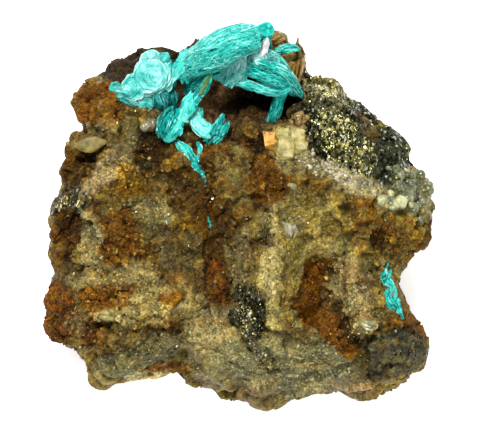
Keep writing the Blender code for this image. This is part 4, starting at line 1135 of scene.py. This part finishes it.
def build_lumps(tree, looks):
    """Rounded quartz: bubbles on the right edge, the crust under the sulphide and single clear masses."""
    for number, (name, look, centre, half, turn, count, (least, most), height) in enumerate(LUMPS):
        draw = np.random.default_rng(2000 + number)
        joined = Joined()
        for _ in range(count):
            x, y = random_spot(draw, centre, half, turn, 0.45, 1)
            place = drop(tree, x, y)
            if place is None or place.z < LOWEST_CRYSTAL:
                continue
            size = least + (most - least) * draw.uniform() ** 2
            shape, faces = rounded_shape(draw)
            stretch = size * draw.uniform(0.8, 1.15, 3) * (1.0, 1.0, height)
            spun = np.array(Matrix.Rotation(draw.uniform(0, ANY_ANGLE), 3, "Z"))
            joined.add((shape * stretch) @ spun.T + (x, y, place.z - 0.1 * size), faces)
        joined.piece(name, looks[look], "rock").data.shade_smooth()


def build_left_blade(tree, material):
    (x, y), size, turn, lean = LEFT_BLADE
    shape, faces = rounded_shape(np.random.default_rng(78), pointed=0.75)
    joined = Joined()
    joined.add((shape * size) @ turn_matrix(turn, lean).T + drop(tree, x, y), faces)
    joined.piece("left_blade", material, "rock").data.shade_smooth()


def build_single_crystals(rock, looks):
    """The larger crystals that the CAD rock has too, standing as high as they do there."""
    cad_rock = ray_tree(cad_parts["matrix"].data)
    for number, (name, look, sides, (x, y), size, turn, lean, count) in enumerate(CRYSTALS):
        draw = np.random.default_rng(1000 + number)
        length, width, depth = size
        narrow = 1.0 if count == 1 else 1.45 / count
        top = max(drop(tree, x, y).z for tree in (cad_rock, rock)) + 0.35
        joined = Joined()
        for k in range(count):
            shape, faces = crystal_shape(draw, sides) if sides else chip(draw)
            if not sides:
                shape = shape - (0, 0, 0.5)
            stretch = np.array((length * draw.uniform(0.8, 1.05), width * narrow, depth))
            along = draw.uniform(-0.1, 0.1) * length
            beside = (k - (count - 1) / 2) * width * 0.8 / count
            lower = -draw.uniform(0, 0.4) * (k != count // 2)
            points = shape * stretch + (along, beside, lower)
            joined.add(points @ turn_matrix(turn, lean).T + (x, y, top), faces)
        joined.piece(name, looks[look], "rock")


# Chalcophyllite

class Spine:
    """A smooth line through points of (x, y, z, width), with its side and up directions."""

    def __init__(self, points):
        p = np.array(points, float)
        p = np.concatenate([[2 * p[0] - p[1]], p, [2 * p[-1] - p[-2]]])
        rows = []
        for i in range(1, len(p) - 2):
            length = np.linalg.norm(p[i + 1, :3] - p[i, :3])
            t = np.linspace(0, 1, max(3, round(length / SPINE_STEP)), endpoint=False)[:, None]
            a, b, c, d = p[i - 1], p[i], p[i + 1], p[i + 2]
            rows.append(0.5 * (2 * b + (c - a) * t + (2 * a - 5 * b + 4 * c - d) * t**2
                               + (3 * b - a - 3 * c + d) * t**3))
        rows.append(p[-2][None])
        line = np.concatenate(rows)
        self.centre, self.width = line[:, :3], line[:, 3]
        tangent = np.gradient(self.centre, axis=0)
        self.tangent = tangent / np.linalg.norm(tangent, axis=1, keepdims=True)
        side = np.cross(self.tangent, (0.0, 0.0, 1.0))
        flat = np.linalg.norm(side, axis=1, keepdims=True)
        for i in range(len(side)):
            if flat[i] < 0.25 and i:
                side[i] = side[i - 1]
        self.side = side / np.linalg.norm(side, axis=1, keepdims=True)
        self.up = np.cross(self.side, self.tangent)
        steps = np.linalg.norm(np.diff(self.centre, axis=0), axis=1)
        self.along = np.concatenate([[0], np.cumsum(steps)])
        self.count = len(self.along)

    def place(self, i, across, lift):
        """Points at sample numbers i, offset to the side and up in millimetres."""
        return self.centre[i] + self.side[i] * across[:, None] + self.up[i] * lift[:, None]


def crown_drop(share):
    """How far the upper side of a book has fallen at a share of its width, as a part of its depth."""
    return CROWN * np.abs(2.0 * share) ** 3.2


def add_slab(joined, spine, thickness, seed, bright, relief):
    """The body of a book of plates, drawn out in fine ridges, steps and wrinkles."""
    top_count = max(9, int(spine.width.max() / COLUMN))
    share = np.linspace(-0.5, 0.5, top_count)[None, :]
    along = np.repeat(spine.along[:, None], top_count, axis=1)
    width, depth = spine.width[:, None], spine.width[:, None] * thickness
    across = share * width

    def streaks(size_across, size_along, number, octaves=2):
        wander = 0.22 * np.sin(along * 0.9 + seed + number)
        where = np.stack([(across + wander) / size_across, along / size_along,
                          np.full_like(along, seed * 3.7 + number)], axis=-1)
        return rough_noise(where.reshape(-1, 3), 1.0, 11, octaves=octaves).reshape(along.shape)

    fine = streaks(0.2, 1.3, 2.0)
    wrinkle = streaks(0.7, 0.8, 3.0, octaves=3)
    level = depth * (0.5 - crown_drop(share)) + relief * (0.06 * fine + 0.1 * wrinkle) - 0.05
    edge = 1.0 + 0.06 * streaks(1.0, 0.3, 5.0)
    # Painted shade and highlight: the top is darker in the dips of its ridges and wrinkles and lighter on
    # their crests
    tone = bright - 0.32 + relief * (0.10 * fine + 0.12 * wrinkle)

    rows = np.arange(spine.count)
    upper = spine.centre[:, None] + spine.side[:, None] * (across * edge)[..., None]
    upper = upper + spine.up[:, None] * level[..., None]
    lower_share = np.array([0.47, 0.2, -0.2, -0.47])
    lower_level = np.array([-0.3, -0.5, -0.5, -0.3])
    lower = [spine.place(rows, s * spine.width, l * spine.width * thickness)
             for s, l in zip(lower_share, lower_level)]
    points = np.concatenate([upper, np.stack(lower, axis=1)], axis=1)
    columns = points.shape[1]
    # Painted shade: the underside of the book is dark
    shaded_tones = np.concatenate([tone, np.full((spine.count, 4), 0.1)], axis=1)
    grain = np.zeros((spine.count, columns, 3))
    grain[:, :top_count, 0] = across * 9.0
    grain[..., 1] = spine.along[:, None] * 1.3
    grain[..., 2] = seed
    joined.add(points.reshape(-1, 3), ring_faces(spine.count, columns),
               tone=np.clip(shaded_tones, 0, 1).ravel(), grain=grain.reshape(-1, 3))


def add_flake(joined, spine, thickness, draw, bright, relief, breadth, length):
    """One thin plate lying along a book: most of its edge is hidden, and one side stands a little proud."""
    middle, half = draw.uniform(-0.02, 1.02) * spine.count, 0.5 * length / SPINE_STEP
    stations = np.linspace(middle - half, middle + half, max(4, int(half * 0.8)))
    overhang = 2.5
    stations = np.clip(stations, -overhang, spine.count - 1 + overhang)
    if stations[-1] - stations[0] < 2.0:
        return
    inner = np.clip(stations, 0, spine.count - 1)
    low = np.floor(inner).astype(int)
    high = np.minimum(low + 1, spine.count - 1)
    part = (inner - low)[:, None]

    def between(values):
        return values[low] * (1 - part) + values[high] * part

    centre = between(spine.centre) + between(spine.tangent) * ((stations - inner) * SPINE_STEP)[:, None]
    side, up = between(spine.side), between(spine.up)
    width = between(spine.width[:, None])[:, 0]
    share = draw.uniform(-0.52, 0.52) + draw.normal(0, 0.05) * np.linspace(-1, 1, len(stations))
    share = share + 0.01 * np.sin(stations * draw.uniform(0.2, 0.6) + draw.uniform(0, ANY_ANGLE))
    taper = 1.0 - 0.35 * np.abs(np.linspace(-1, 1, len(stations))) ** 3
    half_breadth = 0.5 * breadth * taper * (1 + draw.uniform(-0.15, 0.15, len(stations)))
    proud = relief * draw.uniform(0.02, 0.11)
    sunk = -0.04
    if draw.uniform() < 0.5:
        proud, sunk = sunk, proud
    ripple = relief * 0.025 * np.sin(stations * draw.uniform(0.5, 1.1) + draw.uniform(0, ANY_ANGLE))
    slip = [draw.uniform(-0.25, 0.25), draw.uniform(-0.25, 0.25)]
    corners, shaded_tones = [], []
    for sign, rise, thick in ((-1, proud, 0.0), (1, sunk, 0.0), (1, sunk, 0.09), (-1, proud, 0.09)):
        across = np.clip(share, -0.5, 0.5) * width + sign * half_breadth
        here = np.clip(across / width, -0.6, 0.6)
        level = width * thickness * (0.5 - crown_drop(here)) + rise + ripple - thick
        ends = np.zeros(len(stations))
        ends[0], ends[-1] = slip[0] * sign, slip[1] * sign
        corners.append(centre + side * across[:, None] + up * level[:, None]
                       + between(spine.tangent) * ends[:, None])
        # Painted highlight on the proud side of the flake, painted shade on its sunk side and more on its
        # underside
        shaded_tones.append(np.full(len(stations), (0.1 if rise > 0 else -0.2) - 0.4 * (thick > 0)))
    points = np.stack(corners, axis=1)
    tone = bright + draw.normal(0, 0.07 + 0.1 * relief) + np.stack(shaded_tones, axis=1)
    grain = np.zeros((len(stations), 4, 3))
    grain[..., 0] = np.array([0.0, 1.0, 1.0, 0.0]) * breadth * 7.0 + draw.uniform(0, 40)
    grain[..., 1] = stations[:, None] * SPINE_STEP
    grain[..., 2] = draw.uniform(0, 40)
    joined.add(points.reshape(-1, 3), ring_faces(len(stations), 4),
               tone=np.clip(tone, 0, 1).ravel(), grain=grain.reshape(-1, 3))


def add_book(joined, points, thickness, seed, bright, relief):
    """A book of plates along its spine, covered in flakes: fine ones where its relief is high."""
    draw = np.random.default_rng(seed)
    spine = Spine(points)
    add_slab(joined, spine, thickness, seed, bright, relief)
    area = spine.along[-1] * spine.width.mean()
    breadth = 0.5 - 0.24 * min(relief, 1.2)
    longest = min(1.0, 0.35 * spine.along[-1])
    for _ in range(int(area / breadth * 4.4) + 6):
        add_flake(joined, spine, thickness, draw, bright, relief,
                  breadth * draw.uniform(0.6, 1.4), draw.uniform(0.4, 1.5) * longest)


def rounded_hexagon(draw, radius, sides=48):
    """The outline of a plate, with a few chips out of it, as angles and distances from its middle."""
    angle = np.linspace(0, 2 * math.pi, sides, endpoint=False)
    turn = draw.uniform(0, math.pi / 3)
    lobes = 1.0 + 0.05 * np.cos(6 * (angle + turn))
    for k in (2, 3, 5, 9, 14):
        lobes += draw.uniform(0, 0.09 / k) * np.cos(k * angle + draw.uniform(0, ANY_ANGLE))
    chips = np.where(draw.uniform(0, 1, sides) < 0.12, draw.uniform(0.9, 0.97, sides), 1.0)
    return angle, radius * lobes * chips


def add_plate_pile(joined, top, lean, radius, seed, plates, face, toward):
    """A pile of thin rounded plates, leaning as its CAD discs do.

    Growth steps crowd together on the side that toward (in degrees) points to.
    """
    draw = np.random.default_rng(seed)
    about_x = Matrix.Rotation(math.radians(-lean[1]), 3, "X")
    tilt = np.array(Matrix.Rotation(math.radians(lean[0]), 3, "Y") @ about_x)
    top = np.array(top, float)
    way = np.array((math.cos(math.radians(toward)), math.sin(math.radians(toward))))
    for k in range(plates):
        angle, edge = rounded_hexagon(draw, radius * (1.0 + PLATE_GROWTH * k + draw.uniform(-0.05, 0.03)))
        sides = len(angle)
        shift = draw.uniform(-0.05, 0.05, 2) * (1 + 0.3 * k)
        tip = draw.uniform(-0.035, 0.035, 2)
        thick = PLATE_STEP * draw.uniform(0.55, 0.9)
        # Painted shade on each plate's edge and a painted highlight on the rim of its face
        rings = [(1.0, -thick, 0.3), (1.015, -thick * 0.5, 0.5), (1.0, 0.0, min(1.0, face + 0.2))]
        if k == 0:
            levels = np.sort(draw.uniform(0.3, 0.95, 8))[::-1]
            height = 0.0
            for level in levels:
                # Painted shade on the risers of the growth steps
                rings.append((level + 0.022, height, face - draw.uniform(0.1, 0.3)))
                rings.append((level + 0.012, height, face - draw.uniform(0.2, 0.55)))
                height += draw.uniform(0.03, 0.07)
                rings.append((level, height, face + draw.uniform(-0.05, 0.18)))
            rings.append((0.5 * levels[-1], height + 0.01, face))
            rings.append((0.04, height + 0.02, face))
        else:
            rings.append((0.5, 0.0, face - 0.2))
        points, tone, grain = [], [], []
        for share, level, light in rings:
            wobble = 1.0 + 0.03 * np.sin(angle * 3 + seed) * (share < 0.95)
            drift = (1.0 - share) * 0.8 * radius * way if share < 0.95 else np.zeros(2)
            reach = edge * share * wobble
            x, y = reach * np.cos(angle) + drift[0], reach * np.sin(angle) + drift[1]
            dished = 0.05 * np.sin(angle * 2 + k + seed) * share
            z = level - k * PLATE_STEP + x * tip[0] + y * tip[1] + dished
            points.append(np.stack([x + shift[0], y + shift[1], z], axis=1))
            cloudy = 0.1 * np.sin(angle * 2 + seed + k) + 0.07 * np.sin(angle * 5 + 2.0 * seed)
            tone.append(np.full(sides, light) + cloudy + draw.uniform(-0.08, 0.08, sides))
            grain.append(np.stack([x * 2.2, y * 2.2, np.full(sides, k * 3.0 + seed)], axis=1))
        joined.add(np.concatenate(points) @ tilt.T + top, ring_faces(len(rings), sides),
                   tone=np.concatenate(tone), grain=np.concatenate(grain))


# Books: spine as (x, y, z, width), depth over width, tone, then relief
ARCH_BOOKS = [
    ([(-5.6, 15.7, 13.9, 2.6), (-3.8, 17.0, 16.7, 3.6), (-1.9, 18.1, 18.7, 3.9),
      (0.0, 19.0, 19.2, 3.7), (1.5, 19.2, 18.4, 3.0)], 0.85, 0.63, 1.1),
    ([(-5.5, 17.6, 15.2, 1.3), (-6.1, 16.4, 15.9, 1.7), (-6.9, 15.0, 15.2, 0.9)], 0.4, 0.68, 0.5),
    ([(-7.3, 16.7, 14.8, 0.6), (-7.4, 15.5, 15.1, 0.9), (-7.1, 14.5, 14.6, 0.6)], 0.8, 0.4, 0.8),
    ([(-5.7, 17.6, 14.2, 1.4), (-5.8, 16.2, 15.4, 1.5), (-5.8, 15.0, 14.6, 1.3)], 0.8, 0.5, 0.8),
    ([(0.9, 19.5, 18.2, 1.7), (2.0, 19.7, 17.2, 1.6), (2.8, 19.1, 15.0, 1.4), (3.1, 18.4, 12.8, 1.2)],
     0.8, 0.54, 1.3),
    ([(-2.6, 16.0, 16.4, 1.8), (-4.2, 14.7, 14.8, 1.3), (-5.4, 13.8, 12.6, 1.1)], 0.9, 0.42, 1.2),
    ([(0.8, 17.0, 16.2, 1.1), (2.6, 16.5, 17.3, 1.2), (4.2, 15.9, 17.3, 1.4), (5.6, 14.9, 16.0, 1.3),
      (6.4, 13.8, 14.0, 1.0), (7.1, 13.0, 12.8, 0.5)], 0.8, 0.56, 1.4),
    ([(0.5, 16.0, 16.0, 1.0), (2.4, 15.3, 17.1, 1.2), (3.9, 14.8, 16.9, 1.4), (5.2, 14.2, 15.7, 1.3),
      (6.2, 13.5, 13.2, 0.9)], 0.8, 0.5, 1.4),
    ([(2.5, 17.9, 16.3, 0.9), (3.8, 17.3, 16.7, 1.1), (4.9, 16.2, 16.0, 1.1), (5.8, 14.9, 14.0, 0.9)],
     0.9, 0.56, 1.3),
    ([(-0.6, 14.7, 15.3, 0.8), (1.3, 14.2, 15.9, 1.0), (3.0, 13.7, 16.1, 1.1), (4.4, 13.5, 15.9, 1.1),
      (5.4, 13.9, 15.7, 1.0)], 0.9, 0.58, 1.2),
    ([(5.0, 14.1, 15.6, 1.2), (4.6, 13.0, 15.2, 1.1), (4.2, 11.9, 14.2, 1.2), (3.9, 10.8, 12.9, 1.4),
      (3.8, 9.8, 11.5, 1.7)], 0.8, 0.46, 1.2),
    ([(-2.8, 15.6, 16.4, 0.6), (-3.5, 14.2, 17.2, 0.9), (-4.3, 13.0, 17.3, 1.0), (-5.0, 12.1, 17.0, 1.0)],
     0.7, 0.44, 1.3),
    ([(-4.9, 13.0, 17.2, 0.9), (-5.5, 11.8, 17.6, 1.5), (-6.1, 10.6, 17.2, 1.1)], 0.25, 0.66, 0.15),
    ([(-7.1, 11.4, 16.2, 1.2), (-7.7, 10.3, 17.1, 2.0), (-8.2, 9.0, 16.4, 1.5)], 0.6, 0.42, 1.7),
    ([(-6.2, 10.2, 17.0, 0.8), (-6.9, 9.2, 17.4, 1.4), (-7.8, 8.4, 16.6, 0.8)], 0.3, 0.58, 0.4),
]
# Piles of plates: top, lean, radius, number, tone, the side that their growth steps crowd to
ARCH_PILES = [
    ((3.1, 20.3, 17.2), (15, 25), 0.85, 5, 0.5, 60),
]
GLASSY_BOOKS = [
    ([(-0.2, 18.0, 17.5, 2.4), (-0.8, 16.3, 16.9, 3.2), (-1.7, 14.8, 15.8, 2.4)], 0.18, 0.46, 0.12),
    ([(1.4, 17.4, 16.9, 1.2), (0.7, 16.0, 16.6, 1.3), (0.4, 14.7, 16.0, 0.9)], 0.4, 0.34, 0.8),
]
GLASSY_PILES = [
    ((2.5, 17.0, 17.45), (8, -20), 0.95, 4, 0.7, 200),
    ((4.0, 16.8, 17.2), (14, -12), 0.8, 4, 0.4, 30),
]
ROSETTE_BOOKS = [
    ([(-13.1, 13.6, 13.9, 1.6), (-12.0, 13.1, 14.9, 1.9), (-10.9, 12.4, 14.2, 1.6)], 0.7, 0.52, 1.2),
    ([(-8.9, 13.9, 14.0, 1.6), (-8.4, 12.7, 15.1, 2.0), (-8.1, 11.3, 13.0, 1.5)], 0.9, 0.38, 1.4),
    ([(-7.6, 14.0, 13.2, 1.0), (-7.2, 12.9, 14.0, 1.2), (-7.3, 11.6, 12.6, 1.0)], 0.9, 0.34, 1.2),
]
ROSETTE_PILES = [
    ((-9.6, 15.2, 16.2), (-12, 6), 1.75, 11, 0.74, -10),
    ((-9.6, 17.1, 15.3), (-6, 22), 1.05, 8, 0.8, 80),
    ((-8.1, 17.1, 15.0), (10, 18), 0.7, 5, 0.54, 40),
    ((-11.5, 14.0, 15.5), (-22, 4), 1.35, 8, 0.7, 200),
    ((-10.1, 12.1, 15.0), (4, -24), 0.85, 5, 0.66, 270),
    ((-13.5, 13.9, 14.2), (-20, -10), 0.6, 4, 0.56, 180),
]
CURL_BOOKS = [
    ([(-4.4, 11.4, 15.6, 1.3), (-4.5, 10.2, 16.6, 1.5), (-3.6, 9.2, 16.9, 1.5), (-2.6, 8.8, 16.4, 1.3)],
     0.5, 0.86, 0.35),
    ([(-3.3, 8.2, 16.2, 0.8), (-2.5, 9.4, 17.0, 0.8), (-1.8, 10.6, 16.2, 0.6)], 0.8, 0.5, 1.5),
    ([(-2.4, 8.2, 16.1, 0.8), (-1.8, 9.0, 16.7, 1.0), (-1.3, 9.8, 16.0, 0.7)], 0.8, 0.42, 1.5),
]
# Thin sprays and crusts laid on the rock: spine as (x, y, width)
SPRIG_SPINES = [
    [(-6.5, 7.9, 0.5), (-5.7, 7.0, 1.1), (-5.0, 6.2, 0.9), (-4.3, 5.4, 0.3)],
    [(-4.3, 7.9, 0.3), (-4.2, 7.1, 0.5), (-4.4, 6.2, 0.5)],
    [(-5.2, 5.8, 0.3), (-4.6, 5.3, 0.5), (-3.9, 4.6, 0.2)],
    [(-4.0, 4.6, 0.15), (-3.8, 4.2, 0.3), (-3.6, 3.7, 0.15)],
    [(-3.2, -0.2, 0.15), (-3.2, -0.7, 0.25), (-3.1, -1.2, 0.1)],
]
FILM_SPINES = [
    [(16.4, -5.4, 0.3), (16.2, -5.9, 0.4), (16.1, -6.4, 0.3)],
    [(16.7, -6.1, 0.5), (16.3, -6.8, 0.6), (15.9, -7.3, 0.4)],
    [(15.8, -6.4, 0.3), (15.8, -7.0, 0.4), (16.0, -7.6, 0.3)],
    [(16.9, -7.9, 0.5), (16.6, -8.5, 0.9), (16.4, -9.2, 0.9), (17.1, -10.1, 1.0), (17.9, -11.3, 0.5)],
    [(17.2, -8.3, 0.3), (17.1, -9.0, 0.5), (16.9, -9.6, 0.3)],
    [(16.3, -7.0, 0.4), (16.7, -7.7, 0.7), (17.2, -8.5, 0.4)],
    [(17.5, -9.2, 0.3), (17.5, -9.9, 0.6), (17.6, -10.6, 0.4)],
]
FILM_TONES = (0.62, 0.5, 0.7, 0.5, 0.66, 0.6, 0.55)
FLAKE_SPINE = [(4.4, 18.0, 14.9, 0.6), (5.3, 18.2, 15.4, 1.0), (6.4, 18.25, 15.5, 0.7)]
GREEN_SPINE = [(-3.0, 15.5, 16.9, 0.3), (-3.6, 14.3, 17.65, 0.45), (-4.0, 13.4, 17.8, 0.3)]
# The white blade on the arch: (x, y, z), (length, width, depth), turn
WHITE_BLADE = ((2.9, 18.3, 18.0), (2.4, 0.9, 0.6), 74)


def laid_on_rock(tree, spine):
    return [(x, y, drop(tree, x, y).z + 0.15, width) for x, y, width in spine]


def build_books(tree):
    """All the books and piles of plates: name, books, piles, first seed, look, slot, what they replace."""
    plates = plate_material("turquoise plates", TURQUOISE_SHADE_TO_HIGHLIGHT)
    glassy = plate_material("glassy plates", GLASSY_SHADE_TO_HIGHLIGHT, roughness=(0.1, 0.3))
    green = plate_material("green plates", GREEN_SHADE_TO_HIGHLIGHT)
    pale = plate_material("pale plates", PALE_TURQUOISE_SHADE_TO_HIGHLIGHT)
    strip = [(GREEN_SPINE, 0.8, 0.6, 1.0)]
    flake = [(FLAKE_SPINE, 0.4, 0.62, 1.0)]
    sprig = [(laid_on_rock(tree, spine), 0.5, 0.6, 1.0) for spine in SPRIG_SPINES]
    film = [(laid_on_rock(tree, spine), 0.4, tone, 1.0) for spine, tone in zip(FILM_SPINES, FILM_TONES)]
    turquoise_slot, pale_slot = "turquoise_crystal", "pale_crystal"
    groups = (
        ("arched_books", ARCH_BOOKS, ARCH_PILES, 200, plates, turquoise_slot, ("arch",)),
        ("glassy_plates", GLASSY_BOOKS, GLASSY_PILES, 300, glassy, turquoise_slot, ()),
        ("green_strip", strip, [], 390, green, turquoise_slot, ()),
        ("rosette_plates", ROSETTE_BOOKS, ROSETTE_PILES, 400, pale, pale_slot, ("rosette",)),
        ("curled_plates", CURL_BOOKS, [], 600, plates, pale_slot, ("curl",)),
        ("flake_plates", flake, [], 700, plates, turquoise_slot, ("flake",)),
        ("sprig_plates", sprig, [], 800, plates, turquoise_slot, ("sprig",)),
        ("film_plates", film, [], 900, plates, turquoise_slot, ("edge_film",)),
    )
    for name, books, piles, seed, material, slot, replaced in groups:
        joined = Joined()
        for k, (points, thickness, bright, relief) in enumerate(books):
            add_book(joined, points, thickness, seed + k, bright, relief)
        for k, (top, lean, radius, plate_count, face, toward) in enumerate(piles):
            add_plate_pile(joined, top, lean, radius, seed + 50 + k, plate_count, face, toward)
        joined.piece(name, material, slot, replaced)


def build_white_blade(material):
    place, size, turn = WHITE_BLADE
    points, faces = six_sided(np.random.default_rng(5))
    laid = points[:, [2, 0, 1]] * np.array((0.8, 1.0, 1.15)) * size
    joined = Joined()
    joined.add(laid @ turn_matrix(turn).T + place, faces)
    joined.piece("white_blade", material, "turquoise_crystal")


# Camera, floor and light

def add_floor():
    mesh = bpy.data.meshes.new("floor")
    bm = bmesh.new()
    bmesh.ops.create_grid(bm, x_segments=1, y_segments=1, size=1.5)
    bm.to_mesh(mesh)
    bm.free()
    floor = bpy.data.objects.new("floor", mesh)
    bpy.context.scene.collection.objects.link(floor)
    mesh.materials.append(Shader("white paper").made_of({
        "Base Color": (0.95, 0.95, 0.95, 1.0),
        "Roughness": 0.9,
        "Emission Color": (1.0, 1.0, 1.0, 1.0),
        "Emission Strength": 0.55,
    }))
    floor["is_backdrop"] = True


def add_lamp(name, energy, size, place, aim=(0, 0, 0.01)):
    lamp = bpy.data.lights.new(name, "AREA")
    lamp.energy = energy
    lamp.size = size
    obj = bpy.data.objects.new(name, lamp)
    obj.location = place
    obj.rotation_euler = (Vector(place) - Vector(aim)).to_track_quat("Z", "Y").to_euler()
    bpy.context.scene.collection.objects.link(obj)


def add_light():
    world = bpy.data.worlds.new("studio")
    world.use_nodes = True
    background = world.node_tree.nodes["Background"]
    background.inputs["Color"].default_value = (1.0, 1.0, 1.0, 1.0)
    background.inputs["Strength"].default_value = 0.22
    bpy.context.scene.world = world
    bpy.context.scene.view_settings.view_transform = "Standard"
    add_lamp("key", 3.9, 0.12, (-0.10, 0.27, 0.50))
    add_lamp("fill", 1.9, 0.3, (0.16, -0.32, 0.50))


def add_camera():
    camera = bpy.data.cameras.new("camera")
    camera.sensor_width = SENSOR
    middle = from_outline(PHOTO_MIDDLE)
    camera.lens = SENSOR * (CAMERA_HEIGHT - OUTLINE_HEIGHT) / PHOTO_WIDTH
    camera.clip_start, camera.clip_end = 0.05, 5.0
    obj = bpy.data.objects.new("camera", camera)
    obj.location = (middle[0], middle[1], CAMERA_HEIGHT * MM)
    bpy.context.scene.collection.objects.link(obj)
    bpy.context.scene.camera = obj


def main():
    rock_look = rock_material()
    tree = ray_tree(build_rock(rock_look).data)
    add_grains(tree, grain_material("quartz grains", 0.25, 0.15), metal_grain_material(),
               grain_material("rusty crumbs", 0.6, 0.0))
    looks = {key: blade_material(key + " crystal", *values) for key, values in CRYSTAL_LOOKS.items()}
    build_single_crystals(tree, looks)
    build_lumps(tree, looks)
    build_crags(tree, rock_look)
    build_left_blade(tree, blade_material("left blade", (136, 120, 56), 0.1, (0.45, 0.7)))
    build_books(tree)
    build_white_blade(blade_material("white blade", (236, 244, 240), 0.1))
    add_floor()
    add_light()
    add_camera()


main()
VISUAL_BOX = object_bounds()
for box in (CAD_BOX, VISUAL_BOX):
    json.dumps([list(corner) for corner in box]) + "\n"
